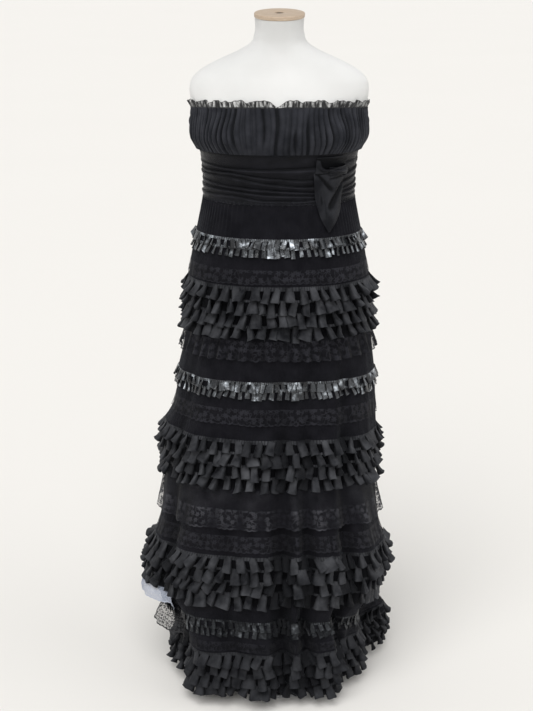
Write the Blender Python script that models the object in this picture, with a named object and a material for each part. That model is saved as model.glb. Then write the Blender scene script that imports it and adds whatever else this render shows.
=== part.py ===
"""A strapless gown with ruffled tiers, on the limbless dress form that holds it.

Metres, +Z up, front of the gown towards -Y, and +X towards the gown's left side.
The origin is the centre of the stand's foot, on the floor.
Angles run round the body from the front centre, positive towards +X.
A level is a height at the front centre. Cloth at the sides hangs a little lower.
"""

import math

import bmesh
import bpy
from mathutils import Matrix, Vector

MM = 0.001

# Driving dimensions of the cloth
SEAM_GAP = 0.3 * MM  # between two pieces that are sewn edge to edge
LIFT = 0.4 * MM  # between a panel and what is sewn flat on it
BODY_GAP = 0.6 * MM  # between the dress form and the cloth next to it
SEAM_TURN = SEAM_GAP / 2 / 0.100  # half a side seam's gap as an angle, 100 mm off the axis
CLOTH = 1.6 * MM  # thickness of a panel with its lining
RUFFLE_CLOTH = 1.8 * MM  # thickness of a doubled taffeta strip
FINE_CLOTH = 1.2 * MM  # thickness of lace and net
ROUNDNESS = 2.15  # exponent of the oval sections, 2 is an ellipse

# Heights on the front centre line
NECKLINE = 1.315
NECKLINE_SIDE_FALL = 0.010
FRILL_HEIGHT = 0.0142
SASH_TOP = 1.2232
SASH_BOTTOM = 1.1213
SKIRT_TOP = 1.1210
SKIRT_HEM = 0.036

# The dress form, and the height down to which the neck's tilt dies away
NECK_BASE = 1.4320
FORM = (
    # height, half, front, back
    (1.4820, 0.0500, 0.0620, 0.0380),
    (1.4500, 0.0503, 0.0590, 0.0450),
    (NECK_BASE, 0.0580, 0.0590, 0.0570),
    (1.4160, 0.0840, 0.0620, 0.0690),
    (1.4000, 0.1200, 0.0680, 0.0810),
    (1.3800, 0.1580, 0.0760, 0.0920),
    (1.3620, 0.1770, 0.0840, 0.0990),
    (1.3450, 0.1820, 0.0900, 0.1030),
    (1.3200, 0.1800, 0.0980, 0.1060),
    (1.3000, 0.1768, 0.1040, 0.1070),
    (1.2750, 0.1765, 0.1100, 0.1070),
    (1.2500, 0.1720, 0.1120, 0.1050),
    (1.2230, 0.1620, 0.1080, 0.1020),
    (1.1900, 0.1555, 0.1020, 0.0990),
    (1.1500, 0.1540, 0.0985, 0.0975),
    (1.1100, 0.1535, 0.0980, 0.0980),
    (1.0700, 0.1555, 0.1010, 0.1030),
    (1.0200, 0.1620, 0.1060, 0.1130),
    (0.9600, 0.1700, 0.1110, 0.1240),
    (0.9000, 0.1750, 0.1140, 0.1310),
    (0.8600, 0.1740, 0.1120, 0.1290),
    (0.8350, 0.1660, 0.1040, 0.1210),
    (0.8220, 0.1520, 0.0920, 0.1080),
)
FORM_COLUMNS = 32
NECK_TILT = 0.16  # slope of the neck's top, lower at the front
BUST_RISE = 9 * MM
BUST_ANGLE = math.radians(36)
BUST_SPREAD = math.radians(20)
BUST_HEIGHT = 1.262
BUST_TALL = 0.036

# The skirt panel's outer face. left and right are as seen from the front. share and
# low are how much it has of each long and each low fold, and the last two columns
# are how far the sides hang below the front.
SKIRT = (
    # level, left, right, front, back, share, low, left fall, right fall
    (SKIRT_TOP, 0.1580, 0.1580, 0.1040, 0.1050, 0.00, 0.00, 0.000, 0.000),
    (0.9570, 0.1905, 0.1900, 0.1230, 0.1350, 0.00, 0.00, 0.000, 0.000),
    (0.8490, 0.1985, 0.1970, 0.1340, 0.1470, 0.00, 0.00, 0.003, 0.003),
    (0.8040, 0.2045, 0.2020, 0.1380, 0.1510, 0.00, 0.00, 0.005, 0.005),
    (0.7580, 0.2140, 0.2080, 0.1420, 0.1560, 0.22, 0.00, 0.006, 0.008),
    (0.6620, 0.2300, 0.2130, 0.1510, 0.1670, 0.22, 0.00, 0.006, 0.012),
    (0.6320, 0.2440, 0.2150, 0.1560, 0.1720, 0.38, 0.00, 0.004, 0.015),
    (0.5250, 0.2500, 0.2140, 0.1680, 0.1860, 0.38, 0.00, 0.010, 0.016),
    (0.4190, 0.2580, 0.2260, 0.1780, 0.1980, 0.72, 0.00, 0.020, 0.026),
    (0.3140, 0.2860, 0.2460, 0.1840, 0.2060, 0.72, 0.00, 0.014, 0.036),
    (0.2570, 0.2920, 0.2220, 0.1880, 0.2110, 0.72, 0.00, 0.010, 0.045),
    (0.2170, 0.2640, 0.2060, 0.1900, 0.2130, 1.00, 0.25, 0.012, 0.040),
    (0.1360, 0.2300, 0.2360, 0.1920, 0.2150, 1.00, 1.00, 0.006, 0.006),
    (SKIRT_HEM, 0.2340, 0.2420, 0.1960, 0.2190, 1.00, 1.00, 0.000, 0.000),
)

# The skirt's largest folds at the hem: where, half as wide, and how far out
LONG_FOLDS = (
    # angle, spread, rise in mm
    (2.0, 7.5, -27),
    (14.5, 6.5, -22),
    (39.5, 9.0, -26),
    (58.0, 12.0, 6),
    (122.0, 14.0, -22),
    (150.0, 15.0, -26),
    (-174.0, 16.0, -24),
    (-142.0, 15.0, -26),
    (-112.0, 14.0, -14),
    (-87.0, 18.0, 10),
    (-62.0, 11.0, -16),
    (-24.0, 10.0, -6),
)
LOW_FOLDS = (
    # angle, spread, rise in mm
    (-42.0, 22.0, 26),
    (54.0, 24.0, -42),
    (81.0, 22.0, -58),
    (104.0, 15.0, 22),
)
FRONT_COLUMNS = 26
BACK_COLUMNS = 18
CENTRE_CROWDING = 0.22  # how much closer the columns stand at the front centre
COLUMNS_PER_WAVE = 4

# Ruffled tiers: the level of the first strip's seam, strips, step down and strip height
TIERS = (
    # name, top, strips, step, height
    ("ruffle_hip", 0.957, 4, 0.0268, 0.0308),
    ("ruffle_thigh", 0.632, 4, 0.0268, 0.0308),
    ("ruffle_knee", 0.371, 4, 0.0285, 0.0325),
    ("ruffle_hem", 0.136, 4, 0.0252, 0.0292),
)
RUFFLE_VALLEY = 5.5 * MM  # how far a strip's lower edge stands off between its waves
RUFFLE_CREST = 15.5 * MM  # and on them
HEM_LOBE_ANGLE = math.radians(22)  # where the lowest strips hang lowest
HEM_LOBE_DROP = 8 * MM

# Bands sewn round the skirt: top and bottom level, how far the lower edge stands off
BANDS = (
    # name, top, bottom, flare in mm, material
    ("glossy_frill_hip", 1.054, 1.018, 5.0, "glossy"),
    ("lace_band_hip", 0.991, 0.9612, 1.2, "lace"),
    ("lace_frill_hip", 0.8445, 0.804, 8.0, "lace"),
    ("glossy_frill_thigh", 0.7575, 0.722, 5.0, "glossy"),
    ("lace_band_thigh", 0.698, 0.663, 2.0, "lace"),
    ("overlay_flounce", 0.5225, 0.441, 11.0, "net"),
    ("lace_band_knee", 0.4185, 0.381, 1.4, "lace"),
    ("glossy_frill_calf", 0.2165, 0.180, 5.0, "glossy"),
    ("lace_band_calf", 0.163, 0.141, 1.0, "lace"),
)

# Two sheer flounces that stand out at the left side as seen from the front, one under
# the knee tier and one above the hem tier
FLOUNCE_MIDDLE = math.radians(-86)
FLOUNCE_REACH = math.radians(33)
FLOUNCE_SPREAD = math.radians(43)  # the turn in which the stand-off dies away
FLOUNCE_EDGE_SHARE = 0.3  # and what is left of it there
SIDE_FLOUNCES = {
    # level, stand-off at the middle in mm
    "net_flounce_side": ((0.2515, 0.0), (0.2460, 18.0), (0.2340, 30.0), (0.2210, 37.0)),
    "lace_flounce_side": ((0.1785, 0.0), (0.1720, 22.0), (0.1550, 36.0), (0.1400, 46.0)),
}

# Bodice front: share of the way down from the neckline to the sash, stand-off at the
# front and at the sides, and height of the gathers
BODICE_ROWS = (
    # share, front, side, gather in mm
    (0.00, 0.7, 0.7, 0.8),
    (0.34, 3.0, 5.0, 2.6),
    (0.80, 5.4, 10.5, 3.2),
    (1.00, 2.0, 7.0, 1.6),
)
BODICE_GATHERS = 16
GATHER_STEPS = (0.0, 1.0, 0.45)  # a gather's height across it, steep and then soft
SIDE_BLEND = 8  # how closely the back panel meets the front one only at the side seams
FRILL_WAVES = 8
FRILL_COLUMNS_PER_WAVE = 8
FRILL_ROWS = (
    # rise, valley in mm, crest in mm
    (SEAM_GAP, 0.9, 0.9),
    (FRILL_HEIGHT, 1.4, 6.0),
)
SHIRR_ROWS = 9  # rows of elastic on the back panel
SHIRR_RISE = 2.2 * MM
SHIRR_COLUMNS = 16

# Sash: share of the way down, and stand-off of its outer face, one row at each ridge
# and each trough of its five folds
SASH_ROWS = (
    # share, outer in mm
    (0.00, 2.6),
    (0.14, 4.2),
    (0.27, 2.6),
    (0.38, 4.6),
    (0.50, 2.5),
    (0.61, 4.4),
    (0.72, 2.6),
    (0.83, 4.4),
    (0.91, 2.5),
    (1.00, 3.6),
)
SASH_COLUMNS = 16

# Bow on the sash: angle at its left and right edge, and how far its cloth stands out
BOW_TAIL = (
    # height, left, right, edge, middle in mm
    (1.1800, 23.4, 52.4, 6.0, 11.0),
    (1.1590, 23.8, 52.4, 6.2, 12.0),
    (1.1320, 24.6, 50.2, 7.0, 13.0),
    (1.1100, 26.0, 47.5, 10.4, 15.4),
    (1.0885, 28.6, 42.3, 13.4, 16.6),
    (1.0655, 32.8, 33.8, 16.5, 17.2),
)
BOW_LOOP = (
    # height, left, right, edge, middle in mm
    (1.2180, 26.4, 52.4, 5.6, 6.4),
    (1.2130, 24.9, 53.4, 5.8, 16.0),
    (1.1990, 24.4, 53.9, 6.0, 19.0),
    (1.1860, 24.9, 53.4, 5.8, 15.0),
    (1.1810, 26.4, 52.4, 5.6, 6.4),
)
BOW_COLUMNS = 8
BOW_CLOTH = 2.4 * MM
BOW_BACK = 5.0 * MM  # stand-off of the loop's flat back, just outside the sash
BOW_EDGE_SHARE = 0.3  # the tail's thickness at its edges, of its thickness at the middle

# Neck cap and stand
CAP_RADIUS = 0.0505
CAP_THICK = 8 * MM
CAP_EDGE = 2 * MM
CAP_CENTRE_Y = -0.012
POLE_RADIUS = 12.5 * MM
COLLAR_RADIUS = 32 * MM
COLLAR_HEIGHT = 14 * MM
FOOT_RADIUS = 0.150
FOOT_THICK = 9 * MM
FOOT_CROWN = 13 * MM
FOOT_SLOPE = 6 * MM
FOOT_EDGE = 3 * MM
HUB_RADIUS = 26 * MM
HUB_FLARE = 2 * MM
HUB_TOP = 30 * MM
TURNED_COLUMNS = 32

# Colour, roughness and metallic value of each material
FINISHES = {
    "jersey": ((0.80, 0.80, 0.78), 0.80, 0.0),
    "beech": ((0.70, 0.58, 0.45), 0.55, 0.0),
    "steel": ((0.55, 0.56, 0.58), 0.30, 1.0),
    "chiffon": ((0.020, 0.022, 0.026), 0.85, 0.0),
    "satin": ((0.014, 0.014, 0.017), 0.45, 0.0),
    "taffeta": ((0.028, 0.029, 0.032), 0.55, 0.0),
    "crepe": ((0.010, 0.010, 0.012), 0.95, 0.0),
    "glossy": ((0.090, 0.095, 0.105), 0.22, 0.2),
    "lace": ((0.020, 0.020, 0.023), 0.85, 0.0),
    "net": ((0.025, 0.026, 0.029), 0.90, 0.0),
}


def clear_scene():
    for obj in list(bpy.data.objects):
        bpy.data.objects.remove(obj, do_unlink=True)


def finish(name):
    """The material called name, made on its first use."""
    found = bpy.data.materials.get(name)
    if found:
        return found
    colour, rough, metal = FINISHES[name]
    made = bpy.data.materials.new(name)
    made.use_nodes = True
    shader = made.node_tree.nodes["Principled BSDF"]
    shader.inputs["Base Color"].default_value = (*colour, 1.0)
    shader.inputs["Roughness"].default_value = rough
    shader.inputs["Metallic"].default_value = metal
    return made


def add_object(name, mesh, material):
    mesh.materials.append(finish(material))
    mesh.shade_smooth()
    mesh.set_sharp_from_angle(angle=math.radians(50))
    obj = bpy.data.objects.new(name, mesh)
    bpy.context.scene.collection.objects.link(obj)
    return obj


def rows_beside(table, level):
    """The table's rows above and below this height, and the share of the way down."""
    for above, below in zip(table, table[1:]):
        if level >= below[0]:
            break
    return above, below, (above[0] - level) / (above[0] - below[0])


def pushed_out(point, distance):
    """The point moved straight away from the body's axis."""
    return point + Vector((point.x, point.y, 0)).normalized() * distance


def oval(angle, half, front, back):
    """A point of an oval section, with its front towards -Y."""
    power = 2 / ROUNDNESS
    across, along = math.sin(angle), math.cos(angle)
    depth = front if along > 0 else back
    x = half * math.copysign(abs(across) ** power, across)
    y = -depth * math.copysign(abs(along) ** power, along)
    return Vector((x, y, 0))


def bell(distance, spread):
    """A smooth hump, 1 at the middle and 0 from spread onwards."""
    if abs(distance) >= spread:
        return 0.0
    return 0.5 + 0.5 * math.cos(math.pi * distance / spread)


def turn_between(angle, other):
    """The signed turn from other to angle, in radians, within half a circle."""
    return (angle - other + math.pi) % (2 * math.pi) - math.pi


def form_corner(angle, row):
    """A corner of the dress form's faces, on one of its rows."""
    height, half, front, back = row
    point = oval(angle, half, front, back)
    side = abs(turn_between(angle, 0)) - BUST_ANGLE
    bust = math.exp(-((side / BUST_SPREAD) ** 2))
    bust *= math.exp(-(((height - BUST_HEIGHT) / BUST_TALL) ** 2))
    point += point.normalized() * BUST_RISE * bust
    point.z = height
    return point


def form_point(angle, height, stand_off=0.0):
    """A point on the dress form's faces, or stand_off outside them."""
    step = 2 * math.pi / FORM_COLUMNS
    column = math.floor(angle / step + 1e-9)
    across = angle / step - column
    above, below, down = rows_beside(FORM, height)
    ends = []
    for row in (above, below):
        left = form_corner(column * step, row)
        right = form_corner((column + 1) * step, row)
        ends.append(left.lerp(right, across))
    return pushed_out(ends[0].lerp(ends[1], down), stand_off)


def fold_rise(folds, angle):
    """How far these folds carry the skirt out, or in, at this angle of the hem."""
    rise = 0.0
    for where, spread, millimetres in folds:
        away = turn_between(angle, math.radians(where))
        rise += millimetres * MM * bell(away, math.radians(spread))
    return rise


def skirt_corner(angle, row):
    """A corner of the skirt panel's faces, on one of its rows."""
    level, left, right, front, back, share, low, left_fall, right_fall = row
    rightwards = math.sin(angle) > 0
    point = oval(angle, right if rightwards else left, front, back)
    folds = share * fold_rise(LONG_FOLDS, angle) + low * fold_rise(LOW_FOLDS, angle)
    point = pushed_out(point, folds)
    point.z = level - (right_fall if rightwards else left_fall) * math.sin(angle) ** 2
    if level == SKIRT_HEM:
        point.z -= HEM_LOBE_DROP * bell(turn_between(angle, HEM_LOBE_ANGLE), HEM_LOBE_ANGLE)
    return point


def skirt_point(angle, level, stand_off=0.0):
    """A point on the skirt panel's outer face, or stand_off outside it.

    A level just below the panel's hem carries its lowest face on.
    """
    above, below, down = rows_beside(SKIRT, level)
    point = skirt_corner(angle, above).lerp(skirt_corner(angle, below), down)
    return pushed_out(point, stand_off)


def neckline(angle):
    """Height of the bodice's top edge, highest at the front centre."""
    return NECKLINE - NECKLINE_SIDE_FALL * (1 - math.cos(angle))


def skirt_columns():
    """Angles round the whole skirt, closest together at the front centre."""
    front = []
    for i in range(FRONT_COLUMNS + 1):
        u = -1 + 2 * i / FRONT_COLUMNS
        crowded = u - CENTRE_CROWDING * math.sin(math.pi * u) / math.pi
        front.append(crowded * math.pi / 2)
    step = math.pi / BACK_COLUMNS
    back = [math.pi / 2 + step * i for i in range(1, BACK_COLUMNS)]
    return front, back


def add_strip(bm, upper, lower, ring, bulge=0):
    """Triangles between two rows of points, seen from outside, upper row above.

    bulge is 1 to split each four-sided face so that it stands out, and -1 so that it
    lies in. A panel lies in and what is sewn on it stands out, so that they stay apart.
    """
    count = len(upper)
    for i in range(count if ring else count - 1):
        j = (i + 1) % count
        corners = lower[i], lower[j], upper[j], upper[i]
        one, two, three, four = (corner.co for corner in corners)
        outwards = (three - one).cross(four - two)
        if (one + three - two - four).dot(outwards) * bulge < 0:
            corners = corners[1:] + corners[:1]
        bm.faces.new(corners[:3])
        bm.faces.new((corners[0], corners[2], corners[3]))


def cloth_wall(name, material, outer, inner, ring=True, bulge=1):
    """A closed wall of cloth between an outer and an inner face.

    Each face is a list of rows from the top down, and each row runs round the body.
    An open wall, with ring False, has as many inner rows as outer ones.
    """
    bm = bmesh.new()
    out = [[bm.verts.new(p) for p in row] for row in outer]
    inn = [[bm.verts.new(p) for p in row] for row in inner]
    for upper, lower in zip(out, out[1:]):
        add_strip(bm, upper, lower, ring, bulge)
    for upper, lower in zip(inn, inn[1:]):
        add_strip(bm, upper[::-1], lower[::-1], ring, -bulge)
    add_strip(bm, inn[0], out[0], ring)
    add_strip(bm, out[-1], inn[-1], ring)
    if not ring:
        left_out = [row[0] for row in out]
        left_in = [row[0] for row in inn]
        add_strip(bm, left_out, left_in, False)
        right_out = [row[-1] for row in out]
        right_in = [row[-1] for row in inn]
        add_strip(bm, right_in, right_out, False)
    mesh = bpy.data.meshes.new(name)
    bm.to_mesh(mesh)
    bm.free()
    return add_object(name, mesh, material)


def turned(name, material, profile, top=None):
    """A solid turned about Z from (radius, height) pairs that run from top to bottom.

    top, if given, is a matrix that carries the whole solid to its place.
    """
    bm = bmesh.new()
    rows = []
    for radius, height in profile:
        row = []
        for i in range(TURNED_COLUMNS):
            angle = 2 * math.pi * i / TURNED_COLUMNS
            row.append(bm.verts.new((radius * math.sin(angle), -radius * math.cos(angle), height)))
        rows.append(row)
    for upper, lower in zip(rows, rows[1:]):
        add_strip(bm, upper, lower, True)
    bm.faces.new(rows[0])
    bm.faces.new(rows[-1][::-1])
    if top is not None:
        bmesh.ops.transform(bm, matrix=top, verts=bm.verts)
    mesh = bpy.data.meshes.new(name)
    bm.to_mesh(mesh)
    bm.free()
    return add_object(name, mesh, material)


def neck_slope():
    """The tilted plane of the neck's top, as a matrix."""
    middle = Vector((0, CAP_CENTRE_Y, FORM[0][0]))
    return Matrix.Translation(middle) @ Matrix.Rotation(math.atan(NECK_TILT), 4, "X")


def build_form():
    """The stuffed torso, its wooden neck cap, and the stand under it."""
    bm = bmesh.new()
    rows = []
    for form_row in FORM:
        height = form_row[0]
        tilt = NECK_TILT * max(0.0, height - NECK_BASE) / (FORM[0][0] - NECK_BASE)
        row = []
        for i in range(FORM_COLUMNS):
            point = form_corner(2 * math.pi * i / FORM_COLUMNS, form_row)
            point.z += tilt * (point.y - CAP_CENTRE_Y)
            row.append(bm.verts.new(point))
        rows.append(row)
    for upper, lower in zip(rows, rows[1:]):
        add_strip(bm, upper, lower, True)
    bm.faces.new(rows[0])
    bm.faces.new(rows[-1][::-1])
    mesh = bpy.data.meshes.new("form_torso")
    bm.to_mesh(mesh)
    bm.free()
    add_object("form_torso", mesh, "jersey")

    cap = (
        (CAP_RADIUS - CAP_EDGE, SEAM_GAP + CAP_THICK),
        (CAP_RADIUS, SEAM_GAP + CAP_THICK - CAP_EDGE),
        (CAP_RADIUS, SEAM_GAP + CAP_EDGE / 2),
        (CAP_RADIUS - CAP_EDGE / 2, SEAM_GAP),
    )
    turned("neck_cap", "beech", cap, neck_slope())

    under = FORM[-1][0] - SEAM_GAP
    pole = (
        (COLLAR_RADIUS, under),
        (COLLAR_RADIUS, under - COLLAR_HEIGHT),
        (POLE_RADIUS, under - COLLAR_HEIGHT - COLLAR_RADIUS + POLE_RADIUS),
        (POLE_RADIUS, HUB_TOP + SEAM_GAP),
    )
    turned("stand_pole", "steel", pole)
    foot = (
        (HUB_RADIUS, HUB_TOP),
        (HUB_RADIUS + HUB_FLARE, FOOT_CROWN),
        (FOOT_RADIUS - FOOT_SLOPE, FOOT_THICK),
        (FOOT_RADIUS, FOOT_THICK - FOOT_EDGE),
        (FOOT_RADIUS, 0.0),
    )
    turned("stand_foot", "steel", foot)


def build_bodice_front():
    """The gathered bust panel, from side seam to side seam."""
    edge = math.pi / 2 - SEAM_TURN
    steps = BODICE_GATHERS * len(GATHER_STEPS)
    outer, inner = [], []
    for share, front, side, gather in BODICE_ROWS:
        out_row, in_row = [], []
        for i in range(steps + 1):
            angle = -edge + 2 * edge * i / steps
            top = neckline(angle)
            height = top + (SASH_TOP + SEAM_GAP - top) * share
            sideways = math.sin(angle) ** 2
            stand_off = (front + (side - front) * sideways) * MM
            rise = GATHER_STEPS[i % len(GATHER_STEPS)] * gather * MM
            in_row.append(form_point(angle, height, stand_off))
            out_row.append(form_point(angle, height, stand_off + CLOTH + rise))
        outer.append(out_row)
        inner.append(in_row)
    cloth_wall("bodice_front", "chiffon", outer, inner, ring=False)


def side_stand_off(height):
    """How far the bodice front stands off the form at the side seams."""
    top = neckline(math.pi / 2)
    share = (top - height) / (top - SASH_TOP)
    for above, below in zip(BODICE_ROWS, BODICE_ROWS[1:]):
        if share <= below[0]:
            part = (share - above[0]) / (below[0] - above[0])
            return (above[2] + (below[2] - above[2]) * part) * MM
    return BODY_GAP


def build_bodice_back():
    """The back panel, shirred with rows of elastic, from the neckline to the skirt."""
    edge = math.pi / 2 - SEAM_TURN
    outer, inner = [], []
    for step in range(2 * SHIRR_ROWS + 1):
        out_row, in_row = [], []
        rise = SHIRR_RISE if step % 2 else 0.0
        for i in range(SHIRR_COLUMNS + 1):
            angle = math.pi - edge + 2 * edge * i / SHIRR_COLUMNS
            height = neckline(angle)
            height += (SASH_BOTTOM - height) * step / (2 * SHIRR_ROWS)
            beside = abs(math.sin(angle)) ** SIDE_BLEND
            inside = BODY_GAP + (side_stand_off(height) - BODY_GAP) * beside
            in_row.append(form_point(angle, height, inside))
            out_row.append(form_point(angle, height, inside + CLOTH + rise))
        outer.append(out_row)
        inner.append(in_row)
    cloth_wall("bodice_back", "chiffon", outer, inner, ring=False)


def build_neckline_frill():
    """The narrow frill that stands on the bodice's top edge."""
    count = FRILL_WAVES * FRILL_COLUMNS_PER_WAVE
    rows = []
    for rise, valley, crest in FRILL_ROWS:
        for thick in (FINE_CLOTH, 0.0):
            row = []
            for i in range(count):
                angle = 2 * math.pi * i / count
                wave = 0.5 - 0.5 * math.cos(2 * math.pi * i / FRILL_COLUMNS_PER_WAVE)
                out = (valley + (crest - valley) * wave) * MM + thick
                row.append(form_point(angle, neckline(angle) + rise, out))
            rows.append(row)
    low_out, low_in, top_out, top_in = rows
    cloth_wall("neckline_frill", "net", [top_out, low_out], [top_in, low_in])


def build_sash():
    """The pleated sash across the front, with its folds lying round the waist."""
    edge = math.pi / 2 - SEAM_TURN
    outer, inner = [], []
    for share, millimetres in SASH_ROWS:
        height = SASH_TOP + (SASH_BOTTOM - SASH_TOP) * share
        out_row, in_row = [], []
        for i in range(SASH_COLUMNS + 1):
            angle = -edge + 2 * edge * i / SASH_COLUMNS
            in_row.append(form_point(angle, height, BODY_GAP))
            out_row.append(form_point(angle, height, millimetres * MM))
        outer.append(out_row)
        inner.append(in_row)
    cloth_wall("sash_front", "satin", outer, inner, ring=False)


def build_bow():
    """The bow's flattened loop and its pointed tail, on the sash."""
    for name, table in (("bow_tail", BOW_TAIL), ("bow_loop", BOW_LOOP)):
        outer, inner = [], []
        for height, left, right, edge, middle in table:
            out_row, in_row = [], []
            for i in range(BOW_COLUMNS + 1):
                across = i / BOW_COLUMNS
                angle = math.radians(left + (right - left) * across)
                arch = math.sin(math.pi * across)
                out = (edge + (middle - edge) * arch) * MM
                thick = BOW_CLOTH * (BOW_EDGE_SHARE + (1 - BOW_EDGE_SHARE) * arch)
                back = BOW_BACK if name == "bow_loop" else out - thick
                out_row.append(form_point(angle, height, out))
                in_row.append(form_point(angle, height, back))
            outer.append(out_row)
            inner.append(in_row)
        cloth_wall(name, "satin", outer, inner, ring=False)


def build_skirt_panels(front, back):
    """The skirt's front panel and two back panels, which the tiers and bands are sewn on."""
    quarter = math.pi / 2
    middle = BACK_COLUMNS // 2
    panels = {
        "skirt_front": (-quarter, front[1:-1], quarter),
        "skirt_back_left": (quarter, back[: middle - 1], 2 * quarter),
        "skirt_back_right": (2 * quarter, back[middle:], 3 * quarter),
    }
    levels = [row[0] for row in SKIRT]
    for name, (start, between, end) in panels.items():
        angles = [start + SEAM_TURN, *between, end - SEAM_TURN]
        outer = [[skirt_point(a, level) for a in angles] for level in levels]
        inner = [[skirt_point(a, level, -CLOTH) for a in angles] for level in levels]
        cloth_wall(name, "crepe", outer, inner, ring=False, bulge=-1)


def build_ruffles(angles):
    """One gathered strip for each row of each tier, flared in waves at its lower edge."""
    for name, top, strips, step, height in TIERS:
        for strip in range(strips):
            level = top - strip * step
            outer, inner = [], []
            for down, flat in ((0.0, True), (height, False)):
                out_row, in_row = [], []
                for i, angle in enumerate(angles):
                    phase = i + strip * COLUMNS_PER_WAVE // 2
                    wave = 0.5 - 0.5 * math.cos(2 * math.pi * phase / COLUMNS_PER_WAVE)
                    out = LIFT
                    if not flat:
                        out = RUFFLE_VALLEY + (RUFFLE_CREST - RUFFLE_VALLEY) * wave
                    in_row.append(skirt_point(angle, level - down, out))
                    out_row.append(skirt_point(angle, level - down, out + RUFFLE_CLOTH))
                outer.append(out_row)
                inner.append(in_row)
            cloth_wall(f"{name}_{strip + 1}", "taffeta", outer, inner)


def build_bands(angles):
    """The glossy frills, the lace bands and the net flounce round the skirt."""
    for name, top, bottom, flare, material in BANDS:
        outer, inner = [], []
        for level, out in ((top, LIFT), (bottom, LIFT + flare * MM)):
            inner.append([skirt_point(a, level, out) for a in angles])
            outer.append([skirt_point(a, level, out + FINE_CLOTH) for a in angles])
        cloth_wall(name, material, outer, inner)


def build_side_flounces(angles):
    """The sheer flounces that stand out at the side, below the knee."""
    near = [a for a in angles if abs(turn_between(a, FLOUNCE_MIDDLE)) < FLOUNCE_REACH]
    near.sort(key=lambda a: turn_between(a, FLOUNCE_MIDDLE))
    for name, table in SIDE_FLOUNCES.items():
        outer, inner = [], []
        for level, millimetres in table:
            out_row, in_row = [], []
            for angle in near:
                full = bell(turn_between(angle, FLOUNCE_MIDDLE), FLOUNCE_SPREAD)
                full = FLOUNCE_EDGE_SHARE + (1 - FLOUNCE_EDGE_SHARE) * full
                out = LIFT + millimetres * MM * full
                in_row.append(skirt_point(angle, level, out))
                out_row.append(skirt_point(angle, level, out + FINE_CLOTH))
            outer.append(out_row)
            inner.append(in_row)
        cloth_wall(name, name.split("_")[0], outer, inner, ring=False)


def main():
    clear_scene()
    front, back = skirt_columns()
    angles = front + back
    build_form()
    build_bodice_front()
    build_bodice_back()
    build_neckline_frill()
    build_sash()
    build_bow()
    build_skirt_panels(front, back)
    build_ruffles(angles)
    build_bands(angles)
    build_side_flounces(angles)


main()
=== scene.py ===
"""The looks of a strapless gown with ruffled tiers, and of the dress form that wears it.

Metres, +Z up, front of the gown towards -Y, +X towards the gown's left side.
Angles run round the body from the front centre, positive towards +X. A level is a
height at the front centre, and the cloth at the sides hangs a little lower. A cloth
piece is a grid of points, rows from the top down and columns round the body. Its UV map
"cloth" is in metres along the cloth, and "drop" is 0 at its top edge and 1 at its
bottom edge, or the other way up on the neck frill, which stands on its lower edge.
Where a piece has the attribute of painted shade and tone, its colour is painted darker as
shade: it is 1 deep between the folds, where little light comes, and 0 on them. On the
pleats it also holds each pleat's random tone.
"""

import contextlib
import math

import bmesh
import bpy
import numpy as np
from mathutils import Matrix, Vector


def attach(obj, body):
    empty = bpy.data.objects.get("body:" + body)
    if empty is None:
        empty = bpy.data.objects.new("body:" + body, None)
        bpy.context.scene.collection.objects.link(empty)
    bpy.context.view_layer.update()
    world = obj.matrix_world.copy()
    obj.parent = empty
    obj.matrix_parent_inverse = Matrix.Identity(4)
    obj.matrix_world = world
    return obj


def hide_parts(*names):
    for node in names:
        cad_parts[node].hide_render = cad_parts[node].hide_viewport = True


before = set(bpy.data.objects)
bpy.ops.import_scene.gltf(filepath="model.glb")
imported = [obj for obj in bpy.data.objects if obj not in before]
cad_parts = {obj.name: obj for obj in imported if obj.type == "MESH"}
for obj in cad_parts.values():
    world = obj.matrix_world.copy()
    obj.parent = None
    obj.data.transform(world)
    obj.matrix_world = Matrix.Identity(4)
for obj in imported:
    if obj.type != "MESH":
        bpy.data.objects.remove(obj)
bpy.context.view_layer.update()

MM = 0.001
TURN = 2 * np.pi
BEVEL = 1 * MM
AXIS = 0.1 * MM  # where a turned profile ends, before its middle is filled
PAST_TABLE = 12 * MM  # how far under its lowest row a table may be read

# The frame's own dimensions, as its solids have them
SEAM_GAP = 0.3 * MM
SEAM_TURN = 0.0015
LIFT = 0.4 * MM
ROUNDNESS = 2.15
NECKLINE = 1.315
NECKLINE_SIDE_FALL = 0.010
FRILL_HEIGHT = 0.0142
SASH_TOP = 1.2232
SASH_BOTTOM = 1.1213
SKIRT_TOP = 1.1210
SKIRT_HEM = 0.036
NECK_BASE = 1.4320
FORM = (
    # height, half, front, back
    (1.4820, 0.0500, 0.0620, 0.0380),
    (1.4500, 0.0503, 0.0590, 0.0450),
    (NECK_BASE, 0.0580, 0.0590, 0.0570),
    (1.4160, 0.0840, 0.0620, 0.0690),
    (1.4000, 0.1200, 0.0680, 0.0810),
    (1.3800, 0.1580, 0.0760, 0.0920),
    (1.3620, 0.1770, 0.0840, 0.0990),
    (1.3450, 0.1820, 0.0900, 0.1030),
    (1.3200, 0.1800, 0.0980, 0.1060),
    (1.3000, 0.1768, 0.1040, 0.1070),
    (1.2750, 0.1765, 0.1100, 0.1070),
    (1.2500, 0.1720, 0.1120, 0.1050),
    (1.2230, 0.1620, 0.1080, 0.1020),
    (1.1900, 0.1555, 0.1020, 0.0990),
    (1.1500, 0.1540, 0.0985, 0.0975),
    (1.1100, 0.1535, 0.0980, 0.0980),
    (1.0700, 0.1555, 0.1010, 0.1030),
    (1.0200, 0.1620, 0.1060, 0.1130),
    (0.9600, 0.1700, 0.1110, 0.1240),
    (0.9000, 0.1750, 0.1140, 0.1310),
    (0.8600, 0.1740, 0.1120, 0.1290),
    (0.8350, 0.1660, 0.1040, 0.1210),
    (0.8220, 0.1520, 0.0920, 0.1080),
)
FORM_TOP = FORM[0][0]
FORM_UNDER = FORM[-1][0]
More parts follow.
